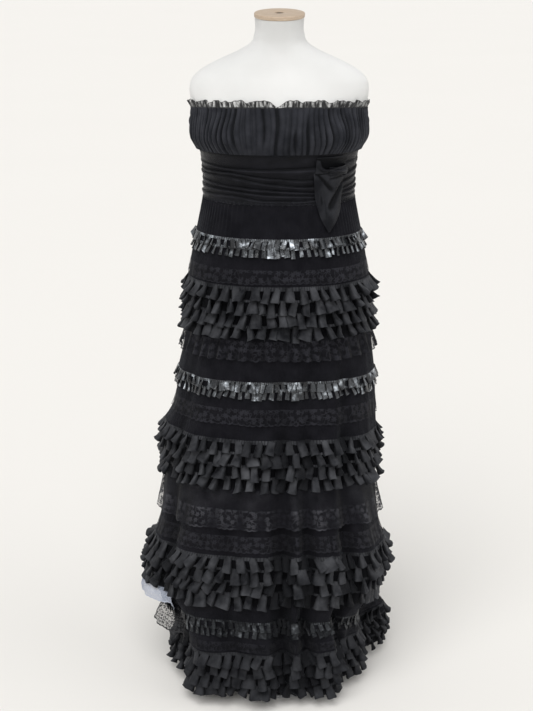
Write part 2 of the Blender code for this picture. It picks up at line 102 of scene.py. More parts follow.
NECK_TILT = 0.12
BUST_RISE = 9 * MM
BUST_ANGLE = math.radians(36)
BUST_SPREAD = math.radians(20)
BUST_HEIGHT = 1.262
BUST_TALL = 0.036
SKIRT = (
    # level, left, right, front, back, share, low, left fall, right fall
    (SKIRT_TOP, 0.1580, 0.1580, 0.1040, 0.1050, 0.00, 0.00, 0.000, 0.000),
    (0.9570, 0.1905, 0.1900, 0.1230, 0.1350, 0.00, 0.00, 0.000, 0.000),
    (0.8490, 0.1985, 0.1970, 0.1340, 0.1470, 0.00, 0.00, 0.003, 0.003),
    (0.8040, 0.2045, 0.2020, 0.1380, 0.1510, 0.00, 0.00, 0.005, 0.005),
    (0.7580, 0.2140, 0.2080, 0.1420, 0.1560, 0.22, 0.00, 0.006, 0.008),
    (0.6620, 0.2300, 0.2130, 0.1510, 0.1670, 0.22, 0.00, 0.006, 0.012),
    (0.6320, 0.2440, 0.2150, 0.1560, 0.1720, 0.38, 0.00, 0.004, 0.015),
    (0.5250, 0.2500, 0.2140, 0.1680, 0.1860, 0.38, 0.00, 0.010, 0.016),
    (0.4190, 0.2580, 0.2260, 0.1780, 0.1980, 0.72, 0.00, 0.020, 0.026),
    (0.3140, 0.2860, 0.2460, 0.1840, 0.2060, 0.72, 0.00, 0.014, 0.036),
    (0.2570, 0.2920, 0.2220, 0.1880, 0.2110, 0.72, 0.00, 0.010, 0.045),
    (0.2170, 0.2640, 0.2060, 0.1900, 0.2130, 1.00, 0.25, 0.012, 0.040),
    (0.1360, 0.2300, 0.2360, 0.1920, 0.2150, 1.00, 1.00, 0.006, 0.006),
    (SKIRT_HEM, 0.2340, 0.2420, 0.1960, 0.2190, 1.00, 1.00, 0.000, 0.000),
)
SKIRT_COLUMNS = 528  # all round
SKIRT_PANELS = ["skirt_panel_front", "skirt_panel_back_left", "skirt_panel_back_right"]
ON_FORM = ["torso_cover"]
ON_SASH = ["ruched_sash"]
LONG_FOLDS = (
    # angle, spread, rise in mm
    (2.0, 7.5, -27),
    (14.5, 6.5, -22),
    (39.5, 9.0, -26),
    (58.0, 12.0, 6),
    (122.0, 14.0, -22),
    (150.0, 15.0, -26),
    (-174.0, 16.0, -24),
    (-142.0, 15.0, -26),
    (-112.0, 14.0, -14),
    (-87.0, 18.0, 10),
    (-62.0, 11.0, -16),
    (-24.0, 10.0, -6),
)
LOW_FOLDS = (
    # angle, spread, rise in mm
    (-42.0, 22.0, 26),
    (54.0, 24.0, -42),
    (81.0, 22.0, -58),
    (104.0, 15.0, 22),
)
HEM_LOBE_ANGLE = math.radians(22)
HEM_LOBE_DROP = 8 * MM
LAST_TIER_TOP = 0.136
TIERS = (
    # name, top, strips, step, height, pleats round, painted shade, seed
    ("ruffle_hip", 0.957, 4, 0.0268, 0.0308, 46, 0.25, 4),
    ("ruffle_thigh", 0.632, 4, 0.0268, 0.0308, 54, 0.0, 10),
    ("ruffle_knee", 0.371, 4, 0.0285, 0.0325, 58, 0.34, 24),
    ("ruffle_hem", LAST_TIER_TOP, 4, 0.0252, 0.0292, 62, 0.62, 30),
)
RUFFLE_VALLEY = 5.5 * MM
RUFFLE_CREST = 15.5 * MM
RUFFLE_WAVES = 11
SWELL_ROOM = 4 * MM  # kept from each wave's height for the swell of its pleats
# How much closer each tier's lower edges lie at this side of the gown, in mm
FLATTER = (0.0, 0.0, 5.0, 5.0)
FLATTER_ANGLE = math.radians(92)
BODICE_ROWS = (
    # share, front in mm, side in mm
    (0.00, 0.7, 0.7),
    (0.34, 3.0, 5.0),
    (0.80, 5.4, 10.5),
    (1.00, 2.0, 7.0),
)
BOW_CREASES = (
    # x and height where it starts, then where it ends, then its width and depth, in mm
    (77, 1183, 107, 1149, 3.4, 3.0),
    (128, 1164, 103, 1113, 4.6, 4.5),
    (84, 1139, 87, 1119, 2.0, 1.4),
    (100, 1172, 128, 1177, 1.9, 2.4),
    (92, 1128, 97, 1096, 2.2, 0.9),
)
BOW_LOOP_LIP = (
    # share from left to right, height
    (0.00, 1.2125),
    (0.06, 1.2120),
    (0.12, 1.1985),
    (0.20, 1.1935),
    (0.36, 1.1935),
    (0.55, 1.1975),
    (1.00, 1.1990),
)
# Where each fold of the sash laps the next, as shares of its height at these angles
SASH_LAP_ANGLES = (-90, -65, -35, -10, 12, 35, 60, 90)
SASH_LAPS = (
    (0.22, 0.25, 0.30, 0.30, 0.28, 0.25, 0.20, 0.18),
    (0.34, 0.38, 0.38, 0.46, 0.51, 0.52, 0.42, 0.33),
    (0.42, 0.45, 0.46, 0.57, 0.64, 0.67, 0.56, 0.45),
    (0.56, 0.60, 0.66, 0.70, 0.74, 0.79, 0.70, 0.60),
    (0.68, 0.71, 0.74, 0.79, 0.82, 0.85, 0.79, 0.72),
    (0.82, 0.84, 0.83, 0.92, 0.93, 0.90, 0.88, 0.85),
    (1.00, 1.00, 1.00, 1.00, 1.00, 1.00, 1.00, 1.00),
)
BOW_TAIL = (
    # height, left, right, edge, middle in mm
    (1.1800, 23.4, 52.4, 6.0, 11.0),
    (1.1590, 23.8, 52.4, 6.2, 12.0),
    (1.1320, 24.6, 50.2, 7.0, 13.0),
    (1.1100, 26.0, 47.5, 10.4, 15.4),
    (1.0885, 28.6, 42.3, 13.4, 16.6),
    (1.0655, 32.8, 33.8, 16.5, 17.2),
)
CAP_RADIUS = 0.0505
CAP_THICK = 8 * MM
CAP_EDGE = 2 * MM
CAP_CENTRE_Y = -0.012
CAP_FACE = (
    # radius and depth under the cap's top, in mm, from the hollow round the screw outwards
    (0.1, 3.0),
    (8.6, 3.0),
    (9.0, 0.3),
    (9.6, 0.0),
    (30.0, 0.0),
)
CAP_SCREW = (
    # radius and depth under the cap's top, in mm
    (0.1, 0.6),
    (5.2, 0.8),
    (7.0, 1.6),
    (7.4, 2.4),
    (7.4, 3.0),
    (0.1, 3.0),
)
POLE_RADIUS = 12.5 * MM
COLLAR_RADIUS = 32 * MM
COLLAR_HEIGHT = 14 * MM
FOOT_RADIUS = 0.150
FOOT_THICK = 9 * MM
FOOT_CROWN = 13 * MM
HUB_RADIUS = 26 * MM
HUB_EDGE = 1.5 * MM
HUB_TOP = 30 * MM

# Small folds and trimmings, finer than the frame's solids
RIPPLES = (
    # turns round, phase, drift over a metre, height in mm
    (9, 0.3, 2.1, 0.8),
    (14, 1.9, -3.3, 0.7),
    (23, 4.1, 4.7, 0.5),
    (37, 2.6, -6.0, 0.35),
)
WAIST_GATHERS = 92
WAIST_GATHER_RISE = 1.1 * MM
WAIST_GATHER_REACH = 0.045
HEM_TURNED_UP = 9 * MM
HEM_STAND_OFFS = (-1.6 * MM, -2.2 * MM)  # of its two rows
DEEP_VALLEY = 9 * MM  # how deep a long fold is where its valley value, painted as shade, reaches 1
BUST_GATHERS = 16
LOOSE_CREASES = 30
SHIRR_ROWS = 10
SASH_PAINTED_SHADE = 0.72  # how dark the sash is painted, as shade, away from the crests of its laps
BOW_LOOP_LEFT = 24.4  # these four in degrees of the turn
BOW_LOOP_WIDE = 29.0
BAND_LEFT = 34.4
BAND_WIDE = 18.5
BOW_LOOP_BACK = 5.8  # stand-off of the loop's back, in mm
BAND_HEIGHT = 1.1895
PIN_RISE = 1.1 * MM  # of the pin gathers in a strip's head
RUFFLE_HEAD = 8  # columns of the head to a pleat
TAB_HEAD = 6
TAB_HEIGHT = 0.55  # of the band that two rows of tabs make up
TAB_STEP = 0.46
GLOSSY = (
    # node, top, bottom, tabs round, finish
    ("glossy_frill_hip", 1.054, 1.018, 74, "glossy"),
    ("glossy_frill_thigh", 0.7575, 0.722, 86, "glossy"),
    ("glossy_frill_calf", 0.2165, 0.180, 98, "dull_glossy"),
)
LACES = (
    # node, top, bottom, flare in mm, waves round, wave in mm, scallops round, painted shade, finish
    ("lace_band_hip", 0.991, 0.9612, 1.2, 60, 0.5, 84, 0.1, "lace"),
    ("lace_frill_hip", 0.8445, 0.804, 5.0, 46, 3.6, 92, 0.0, "lace"),
    ("lace_band_thigh", 0.698, 0.663, 2.0, 64, 0.7, 96, 0.1, "lace"),
    ("overlay_flounce", 0.5225, 0.437, 9.0, 26, 2.6, 104, 0.45, "edged_net"),
    ("lace_band_knee", 0.4185, 0.381, 1.4, 70, 0.7, 108, 0.2, "lace"),
    ("lace_band_calf", 0.163, 0.141, 1.0, 76, 0.5, 112, 0.95, "lace"),
)
SCALLOP_DEPTH = 2.6 * MM
LACE_DRIFT = 2.2 * MM  # how far a lace's lower edge wanders up and down
OVERLAY_SIDE_FALL = 7  # how much lower the net overlay hangs at the sides, in mm
FLOUNCE_MIDDLE = math.radians(-86)
FLOUNCE_REACH = math.radians(33)
SIDE_FLOUNCES = (
    # node, finish, slot, levels from the top down, stand-offs there in mm
    ("net_flounce_side", "side_net", "net", (0.2515, 0.2460, 0.2340, 0.2210), (0, 18, 30, 37)),
    ("lace_flounce_side", "side_lace", "lace", (0.1785, 0.1720, 0.1550, 0.1400), (0, 22, 36, 46)),
)

# How a pleat is bent, and how it grows from its pressed top to its loose end
PLEAT_GRID = {"Size X": 1.0, "Size Y": 1.0, "Vertices X": 9, "Vertices Y": 6}
PLEAT_BEND = 4.3  # its turn from one side to the other, in radians
PLEAT_SQUARENESS = (0.62, 0.7)  # powers that make its section boxy, across and out
PLEAT_TOP_WIDTH = 0.86
PLEAT_WIDENING = 0.26
PLEAT_TOP_SWELL = 0.12
PLEAT_SWELLING = 1.25
PLEAT_SIDES = (0.26, 0.62)  # where the painted shade of its folded-back sides starts and ends, from 0 at its middle
# Least and most of a pleat's own scales: how narrow or wide it is, its swell, its length
PLEAT_SIZES = ((0.0, 0.65, 0.84), (1.0, 1.25, 1.10))
PLEAT_DARKEST = 0.65
PLEAT_FILL = 0.88  # its width, as a share of the step to the next pleat
LOOSE_TAB_FILL = 1.12
STEP_WANDER = 0.030  # how far the steps between pleats wander, in radians
SHARED_LEAN = 2.0  # how far neighbours lean together, in radians to a metre of their height
# The most that a pleat's lower end hangs out, in or aside, as shares of its height
LEAN_OUT = 0.55
LEAN_IN = 0.25
LEAN_ASIDE = 0.30
# How far pleats swell and flick out at their lower ends, and how much they lean and crush
RUFFLE_PLEATS = {"Swell": 9 * MM, "Flick": 2 * MM, "Lean": 0.22, "Crush": 9 * MM}
GLOSSY_TABS = {"Swell": 2.2 * MM, "Flick": 0.6 * MM, "Lean": 0.08, "Crush": 2.5 * MM}
LOOSE_TABS = GLOSSY_TABS | {"Swell": 3.4 * MM, "Lean": 0.30, "Crush": 6 * MM}

# The finishes' values: colours are linear, and distances are in metres
COOL_SHINE = (0.88, 0.91, 1.0, 1)
COOL_SHEEN = (0.75, 0.8, 0.9, 1)
DEEP_SHADE = 0.3  # of a cloth's dark colour, painted deep between its folds as shade
WEAVE_DEPTH = 0.00012
NET_CELLS = 620.0  # to a metre
PETALS = 6.0
WOVEN = {
    # finish: its name, dark and light colour,
    # roughness, sheen, shine, thread spacing, depth of creases, creases a metre
    "taffeta": (
        "pleated_taffeta", (0.0060, 0.0063, 0.0080), (0.0740, 0.0762, 0.0835),
        (0.48, 0.64), 0.05, 0.14, (0.0008, 0.0006), 0.0014, 190.0,
    ),
    "crepe": (
        "skirt_crepe", (0.0038, 0.0037, 0.0052), (0.0080, 0.0078, 0.0102),
        (0.85, 1.0), 0.06, 0.12, (0.0009, 0.0009), 0.0009, 210.0,
    ),
    "chiffon": (
        "gathered_chiffon", (0.0115, 0.0125, 0.0160), (0.031, 0.032, 0.0385),
        (0.70, 0.90), 0.10, 0.16, (0.0009, 0.0009), 0.0004, 120.0,
    ),
    "satin": (
        "sash_satin", (0.0030, 0.0030, 0.0046), (0.0200, 0.0198, 0.0260),
        (0.30, 0.42), 0.0, 0.14, (0.0005, 0.0010), 0.0005, 70.0,
    ),
    "bow": (
        "bow_satin", (0.0046, 0.0048, 0.0064), (0.0235, 0.0243, 0.0280),
        (0.28, 0.40), 0.01, 0.11, (0.0005, 0.0010), 0.0004, 70.0,
    ),
}
OPENWORK = {
    # finish: its name, dark and light colour,
    # roughness, flowers a metre, cover of the net, start of the solid edge, of the lace
    "lace": (
        "floral_lace", (0.0042, 0.0042, 0.0058), (0.020, 0.020, 0.0250),
        (0.60, 0.85), 62.0, 0.13, 0.95,
    ),
    "edged_net": (
        "lace_edged_net", (0.0065, 0.0065, 0.0090), (0.066, 0.0665, 0.0760),
        (0.55, 0.85), 70.0, 0.15, 0.97, 0.50,
    ),
    "side_net": (
        "pale_side_net", (0.20, 0.23, 0.30), (0.42, 0.45, 0.53),
        (0.45, 0.70), 0.0, 0.28, 0.93,
    ),
    "side_lace": (
        "fine_side_lace", (0.008, 0.008, 0.009), (0.040, 0.040, 0.042),
        (0.60, 0.85), 140.0, 0.10, 0.94,
    ),
}
CRINKLED = {
    # finish: its name, coat, painted highlights' brightness, how little is bright, their patches a
    # metre, a tab's painted shine
    "glossy": ("crinkled_glossy", 0.30, 1.00, 5.0, 54.0, 0.060),
    "dull_glossy": ("crinkled_dull_glossy", 0.05, 0.13, 4.5, 85.0, 0.20),
}

# The room: the lamps' directions are those that the light comes from
LAMPS = (
    # name, direction, strength, softness in degrees
    ("high_window", (-0.4, -1.45, 2.2), 2.4, 50),
    ("side_window", (2.0, -0.6, 1.3), 0.45, 50),
)
ROOM_COLOUR = (1.0, 0.995, 0.985, 1)
WALL_LIGHT = 0.83
CEILING_LIGHT = 0.43
WALL_TO_CEILING = (0.26, 0.40)  # the height, on a ball round the gown, over which it changes
FLOOR_COLOURS = (0.785, 0.768, 0.738), (0.795, 0.778, 0.748)
FLOOR_SIZE = 120
FLOOR_MIDDLE = (0, 30, 0)
CAMERA_PLACE = (-0.0258, -2.5, 1.62)
CAMERA_LOOKS_DOWN = math.radians(18.8)
CAMERA_LENS = 40.88
CAMERA_SENSOR = 24.0


# Shapes that the pieces follow


def smooth(table, at):
    """The table's other columns at these values of its first, on curves through its rows."""
    rows = np.array(table, float)
    rows = rows[np.argsort(rows[:, 0])]
    x, y = rows[:, 0], rows[:, 1:]
    slope = np.gradient(y, x, axis=0)
    at = np.clip(np.asarray(at, float), x[0] - PAST_TABLE, x[-1])
    i = np.clip(np.searchsorted(x, at) - 1, 0, len(x) - 2)
    h = (x[i + 1] - x[i])[..., None]
    t = (at - x[i])[..., None] / h
    found = (2 * t**3 - 3 * t**2 + 1) * y[i] + (t**3 - 2 * t**2 + t) * h * slope[i]
    found += (3 * t**2 - 2 * t**3) * y[i + 1] + (t**3 - t**2) * h * slope[i + 1]
    return np.moveaxis(found, -1, 0)


def bell(distance, spread):
    """A smooth hump, 1 at the middle and 0 from spread onwards."""
    return np.where(np.abs(distance) < spread, 0.5 + 0.5 * np.cos(np.pi * distance / spread), 0.0)


def turn_between(angle, other):
    """The signed turn from other to angle, within half a circle."""
    return (angle - other + np.pi) % TURN - np.pi


def signed_power(value, power):
    return np.sign(value) * np.abs(value) ** power


def oval(angle, half, front, back):
    """x and y of an oval section, with its front towards -Y."""
    along = np.cos(angle)
    depth = np.where(along > 0, front, back)
    x = half * signed_power(np.sin(angle), 2 / ROUNDNESS)
    return x, -depth * signed_power(along, 2 / ROUNDNESS)


def stood_off(x, y, z, out):
    """The points moved out from the body's axis by this distance."""
    share = 1 + out / np.hypot(x, y)
    return np.stack(np.broadcast_arrays(x * share, y * share, z), axis=-1)


def form_surface(angle, height, out=0.0):
    """Points on the dress form, or out outside it."""
    angle, height = np.broadcast_arrays(angle, height)
    half, front, back = smooth(FORM, height)
    x, y = oval(angle, half, front, back)
    bust = np.exp(-(((np.abs(turn_between(angle, 0)) - BUST_ANGLE) / BUST_SPREAD) ** 2))
    bust = bust * np.exp(-(((height - BUST_HEIGHT) / BUST_TALL) ** 2))
    return stood_off(x, y, height, out + BUST_RISE * bust)


def fold_rise(folds, angle):
    """How far these folds carry the skirt out, or in, at this angle of the hem."""
    rise = 0.0
    for where, spread, millimetres in folds:
        away = turn_between(angle, math.radians(where))
        rise = rise + millimetres * MM * bell(away, math.radians(spread))
    return rise


def skirt_ripples(angle, level):
    """Small soft folds of the skirt, and the pin gathers under the waist."""
    rise = 0.0
    for turns, phase, drift, millimetres in RIPPLES:
        rise = rise + millimetres * MM * np.sin(turns * angle + phase + drift * level)
    rise = rise * np.clip((SKIRT_TOP - level) * 2.2, 0.1, 1.0)
    pins = np.sin(WAIST_GATHERS * angle + 2.2 * np.sin(7 * angle) + 9 * level)
    return rise + WAIST_GATHER_RISE * pins * np.exp((level - SKIRT_TOP) / WAIST_GATHER_REACH)


def skirt_surface(angle, level, out=0.0):
    """Points on the skirt, or out outside it."""
    angle, level = np.broadcast_arrays(angle, level)
    left, right, front, back, share, low, left_fall, right_fall = smooth(SKIRT, level)
    rightwards = np.sin(angle) > 0
    x, y = oval(angle, np.where(rightwards, right, left), front, back)
    folds = share * fold_rise(LONG_FOLDS, angle) + low * fold_rise(LOW_FOLDS, angle)
    z = level - np.where(rightwards, right_fall, left_fall) * np.sin(angle) ** 2
    lobe = np.clip((LAST_TIER_TOP - level) / (LAST_TIER_TOP - SKIRT_HEM), 0, 1)
    z = z - lobe * HEM_LOBE_DROP * bell(turn_between(angle, HEM_LOBE_ANGLE), HEM_LOBE_ANGLE)
    return stood_off(x, y, z, folds + skirt_ripples(angle, level) + out)


def valley(angle, level):
    """How deep between the skirt's long folds a point lies, from 0 to 1."""
    share = smooth(SKIRT, level)[4]
    return np.clip(-share * fold_rise(LONG_FOLDS, angle) / DEEP_VALLEY, 0, 1)


def under_tiers(level):
    """1 where a tier of ruffles covers the skirt, and 0 between the tiers: a painted shadow under the
    tiers.
    """
    cover = 0.0
    for _, top, strips, step, tall, *_ in TIERS:
        bottom = top - (strips - 1) * step - tall
        cover = cover + np.clip((top - 3 * MM - level) / (3 * MM), 0, 1) * (level > bottom + 4 * MM)
    return cover


def neckline(angle):
    """Height of the bodice's top edge, highest at the front centre."""
    return NECKLINE - NECKLINE_SIDE_FALL * (1 - np.cos(angle))


def random_numbers(seed, count, low, high):
    """Seeded random numbers between low and high."""
    return np.random.default_rng(seed).uniform(low, high, count)


def drifting(angle, seed, turns=(3, 5, 8, 13, 21)):
    """A smooth random value from -1 to 1 that runs round the body."""
    phases = random_numbers(seed, len(turns), 0, TURN)
    waves = [np.sin(n * angle + p) / (1 + 0.12 * n) for n, p in zip(turns, phases)]
    return sum(waves) / sum(1 / (1 + 0.12 * n) for n in turns)


def away_from_ends(share, reach):
    """1 along most of a share from 0 to 1, and down to 0 over this reach at both ends."""
    return np.clip(share / reach, 0, 1) * np.clip((1 - share) / reach, 0, 1)


def panel_angles(start, end, columns):
    """A panel's columns from seam to seam, with one more at each end to be turned in."""
    angle = np.linspace(start + SEAM_TURN, end - SEAM_TURN, columns)
    turn = 4 * SEAM_TURN
    return np.concatenate([[angle[0] - turn], angle, [angle[-1] + turn]])[None, :]


def turned_in(angle, depth):
    """How far a panel's columns lie inside it: only its two turned-in edges do."""
    inside = np.zeros(angle.shape)
    inside[:, [0, -1]] = depth
    return inside


# Meshes


def lengths(points, axis):
    """Running length along the rows (axis 1) or columns (axis 0) of a grid of points."""
    steps = np.linalg.norm(np.diff(points, axis=axis), axis=-1)
    zero = np.zeros_like(np.take(steps, [0], axis=axis))
    return np.cumsum(np.concatenate([zero, steps], axis=axis), axis=axis)


def closed_round(points, ring):
    """The grid with its first column again at the end, where it goes all round."""
    return np.concatenate([points, points[:, :1]], axis=1) if ring else points


def keep_values(mesh, name, values, kind="FLOAT"):
    """Keeps a value for each of the mesh's points under this name."""
    field = mesh.attributes.new(name, kind, "POINT")
    numbers = np.asarray(values, bool if kind == "BOOLEAN" else np.float32)
    field.data.foreach_set("vector" if kind == "FLOAT_VECTOR" else "value", numbers.reshape(-1))


def corners_of(grid):
    """The four corners of every cell of a grid, down and round from the upper left one."""
    return np.stack([grid[:-1, :-1], grid[1:, :-1], grid[1:, 1:], grid[:-1, 1:]], axis=2)


def grid_object(name, points, ring=False, hollow=None, drops=(0, 1)):
    """An object of one layer of cloth through a grid of points."""
    rows, columns = points.shape[:2]
    at = closed_round(np.arange(rows * columns).reshape(rows, columns), ring)
    mesh = bpy.data.meshes.new(name)
    faces = corners_of(at).reshape(-1, 4)
    mesh.from_pydata(points.reshape(-1, 3).tolist(), [], faces.tolist())

    closed = closed_round(points, ring)
    across = lengths(closed, 1).mean(axis=0)
    down = np.broadcast_to(lengths(points, 0).mean(axis=1)[:, None], closed.shape[:2])
    uv = np.stack([np.broadcast_to(across, down.shape), down], axis=-1)
    cloth = mesh.uv_layers.new(name="cloth")
    cloth.uv.foreach_set("vector", corners_of(uv).reshape(-1).astype(np.float32))
    keep_values(mesh, "drop", np.repeat(np.linspace(*drops, rows), columns))
    # Painted shade, which the finishes darken the colour by
    if hollow is not None:
        keep_values(mesh, "hollow", np.broadcast_to(np.clip(hollow, 0, 1), (rows, columns)))
    mesh.shade_smooth()
    obj = bpy.data.objects.new(name, mesh)
    bpy.context.scene.collection.objects.link(obj)
    return obj


@contextlib.contextmanager
def edited(obj):
    """The object's mesh, open for changes to its faces."""
    mesh = bmesh.new()
    mesh.from_mesh(obj.data)
    yield mesh
    mesh.to_mesh(obj.data)
    mesh.free()
    obj.data.shade_smooth()


def fill_holes(mesh):
    bmesh.ops.holes_fill(mesh, edges=[e for e in mesh.edges if e.is_boundary])


def turned_object(name, profile, columns=96, place=None):
    """A closed solid turned about Z from (radius, height) pairs, from the top down."""
    angle = np.linspace(0, TURN, columns, endpoint=False)
    rows = [
        np.stack([r * np.sin(angle), -r * np.cos(angle), np.full(columns, z)], axis=-1)
        for r, z in profile
    ]
    obj = grid_object(name, np.stack(rows), ring=True)
    with edited(obj) as mesh:
        bmesh.ops.remove_doubles(mesh, verts=mesh.verts, dist=1e-6)
        fill_holes(mesh)
        if place is not None:
            bmesh.ops.transform(mesh, matrix=place, verts=mesh.verts)
        bmesh.ops.recalc_face_normals(mesh, faces=mesh.faces)
    obj.data.set_sharp_from_angle(angle=math.radians(40))
    return obj


# Node trees


def socket_of(sockets, name):
    """The socket of this name that the node's settings have switched on."""
    if isinstance(name, int):
        return sockets[name]
    return next(s for s in sockets if s.name == name and s.enabled)


class Nodes:
    """A node tree under way, with short ways to the nodes that come up often."""

    def __init__(self, tree):
        self.tree = tree

    def link(self, value, socket):
        """Gives an input its value, or links it to another node's output."""
        if isinstance(value, bpy.types.NodeSocket):
            self.tree.links.new(value, socket)
        else:
            socket.default_value = value

    def add(self, kind, inputs=None, **settings):
        """A node with its settings, and its inputs given as values or as other sockets."""
        node = self.tree.nodes.new(kind)
        for key, value in settings.items():
            setattr(node, key, value)
        for key, value in (inputs or {}).items():
            self.link(value, socket_of(node.inputs, key))
        return node

    def maths(self, operation, *values):
        return self.add("ShaderNodeMath", dict(enumerate(values)), operation=operation).outputs[0]

    def times(self, first, second):
        return self.maths("MULTIPLY", first, second)

    def vector(self, operation, first, second):
        inputs = {0: first, 1: second}
        return self.add("ShaderNodeVectorMath", inputs, operation=operation).outputs[0]

    def combined(self, x, y, z):
        return self.add("ShaderNodeCombineXYZ", {"X": x, "Y": y, "Z": z}).outputs[0]

    def parts(self, vector):
        """The X, Y and Z of a vector."""
        return self.add("ShaderNodeSeparateXYZ", {0: vector}).outputs

    def stored(self, geometry, name, value, kind="FLOAT", domain="POINT"):
        """The geometry with this value kept on it under this name."""
        inputs = {"Geometry": geometry, "Name": name, "Value": value}
        node = self.add("GeometryNodeStoreNamedAttribute", inputs, data_type=kind, domain=domain)
        return node.outputs[0]

    def kept(self, name, kind="FLOAT"):
        """What the geometry keeps under this name."""
        found = self.add("GeometryNodeInputNamedAttribute", {"Name": name}, data_type=kind)
        return socket_of(found.outputs, "Attribute")

    def random(self, kind, low, high, seed):
        inputs = {"Min": low, "Max": high, "Seed": seed}
        found = self.add("FunctionNodeRandomValue", inputs, data_type=kind)
        return socket_of(found.outputs, "Value")


def run_tree(obj, tree, values):
    """Replaces the object's mesh by the tree's result, as a plain mesh."""
    modifier = obj.modifiers.new("make", "NODES")
    modifier.node_group = tree
    for item in tree.interface.items_tree:
        if item.item_type == "SOCKET" and item.name in values:
            modifier[item.identifier] = values[item.name]
    bpy.context.view_layer.update()
    graph = bpy.context.evaluated_depsgraph_get()
    seen = obj.evaluated_get(graph)
    made = bpy.data.meshes.new_from_object(seen, preserve_all_data_layers=True, depsgraph=graph)
    obj.modifiers.remove(modifier)
    old = obj.data
    obj.data = made
    made.name = obj.name
    bpy.data.meshes.remove(old)


def new_tree(name, inputs):
    """An empty geometry tree with a geometry in and out, and these named inputs."""
    tree = bpy.data.node_groups.new(name, "GeometryNodeTree")
    tree.interface.new_socket("Geometry", in_out="INPUT", socket_type="NodeSocketGeometry")
    for label, kind in inputs.items():
        tree.interface.new_socket(label, in_out="INPUT", socket_type="NodeSocket" + kind)
    tree.interface.new_socket("Geometry", in_out="OUTPUT", socket_type="NodeSocketGeometry")
    return Nodes(tree), tree.nodes.new("NodeGroupInput").outputs


# Pleats


def bent_pleat(nodes, given, place):
    """One pleat: a small grid bent into an open loop, with its two sides folded back.

    It is pressed flat at its top and round at its bottom edge.
    """
    cut = nodes.add("GeometryNodeMeshGrid", PLEAT_GRID).outputs["Mesh"]
    flat = nodes.parts(place)
    down = nodes.maths("SUBTRACT", 0.5, flat["Y"])
    fallen = nodes.times(down, given["Height"])

    bend = nodes.times(flat["X"], PLEAT_BEND)
    boxed = []
    for wave, squareness in zip(("SINE", "COSINE"), PLEAT_SQUARENESS):
        round_way = nodes.maths(wave, bend)
        size = nodes.maths("POWER", nodes.maths("ABSOLUTE", round_way), squareness)
        boxed.append(nodes.times(size, nodes.maths("SIGN", round_way)))
    spread = nodes.maths("MULTIPLY_ADD", down, PLEAT_WIDENING, PLEAT_TOP_WIDTH)
    half = nodes.times(nodes.times(given["Width"], 0.5), spread)
    swelling = nodes.maths("POWER", down, PLEAT_SWELLING)
    swelling = nodes.maths("MULTIPLY_ADD", swelling, 1 - PLEAT_TOP_SWELL, PLEAT_TOP_SWELL)
    swelling = nodes.times(swelling, given["Swell"])
    flick = nodes.times(nodes.maths("POWER", down, 3.0), given["Flick"])
    out = nodes.maths("MULTIPLY_ADD", boxed[1], swelling, flick)
    shaped = nodes.combined(nodes.times(boxed[0], half), out, nodes.times(fallen, -1.0))

    cloth = nodes.combined(nodes.times(flat["X"], given["Width"]), fallen, 0.0)
    # Painted shade, darkest on the folded-back sides
    folded_back = nodes.times(nodes.maths("ABSOLUTE", flat["X"]), 2.0)
    hollow = {"Value": folded_back, "From Min": PLEAT_SIDES[0], "From Max": PLEAT_SIDES[1]}
    hollow = nodes.add("ShaderNodeMapRange", hollow, interpolation_type="SMOOTHSTEP").outputs[0]
    keep = nodes.stored(cut, "cloth", cloth, "FLOAT2", "CORNER")
    keep = nodes.stored(keep, "drop", down)
    keep = nodes.stored(keep, "hollow", hollow)
    return nodes.add("GeometryNodeSetPosition", {"Geometry": keep, "Position": shaped}).outputs[0]


def hung_pleats(nodes, given, pleat):
    """The pleats at their seats, each with its own lean, size and tone."""
    ways = {
        "Primary Axis": nodes.kept("upward", "FLOAT_VECTOR"),
        "Secondary Axis": nodes.kept("outward", "FLOAT_VECTOR"),
    }
    facing = nodes.add("FunctionNodeAxesToRotation", ways, primary_axis="Z", secondary_axis="Y")
    # A pleat leans out or in, swings sideways, and twists about its own length
    tilt = nodes.random("FLOAT_VECTOR", (-1.0, -1.0, -1.0), (1.0, 1.0, 1.0), given["Seed"])
    most = nodes.times(given["Lean"], 0.6), given["Lean"], nodes.times(given["Lean"], 1.8)
    leaning = nodes.vector("MULTIPLY", tilt, nodes.combined(*most))
    turned = nodes.add("FunctionNodeEulerToRotation", {0: leaning}).outputs[0]
    turns = {"Rotation": facing.outputs[0], "Rotate By": turned}
    facing = nodes.add("FunctionNodeRotateRotation", turns, rotation_space="LOCAL").outputs[0]

    # Most pleats are narrow, and a few are much wider
    other_seed = nodes.maths("ADD", given["Seed"], 57.0)
    sizes = nodes.parts(nodes.random("FLOAT_VECTOR", *PLEAT_SIZES, other_seed))
    wide = nodes.maths("MULTIPLY_ADD", nodes.maths("POWER", sizes["X"], 4.0), 0.75, 0.84)
    hanging = {
        "Points": given["Geometry"],
        "Selection": nodes.kept("seat", "BOOLEAN"),
        "Instance": pleat,
        "Rotation": facing,
        "Scale": nodes.combined(wide, sizes["Y"], sizes["Z"]),
    }
    hung = nodes.add("GeometryNodeInstanceOnPoints", hanging).outputs[0]
    tone = nodes.random("FLOAT", 0.0, 1.0, nodes.maths("ADD", given["Seed"], 91.0))
    tone = nodes.times(nodes.maths("POWER", tone, 1.8), PLEAT_DARKEST)
    return nodes.stored(hung, "tone", tone, domain="INSTANCE")


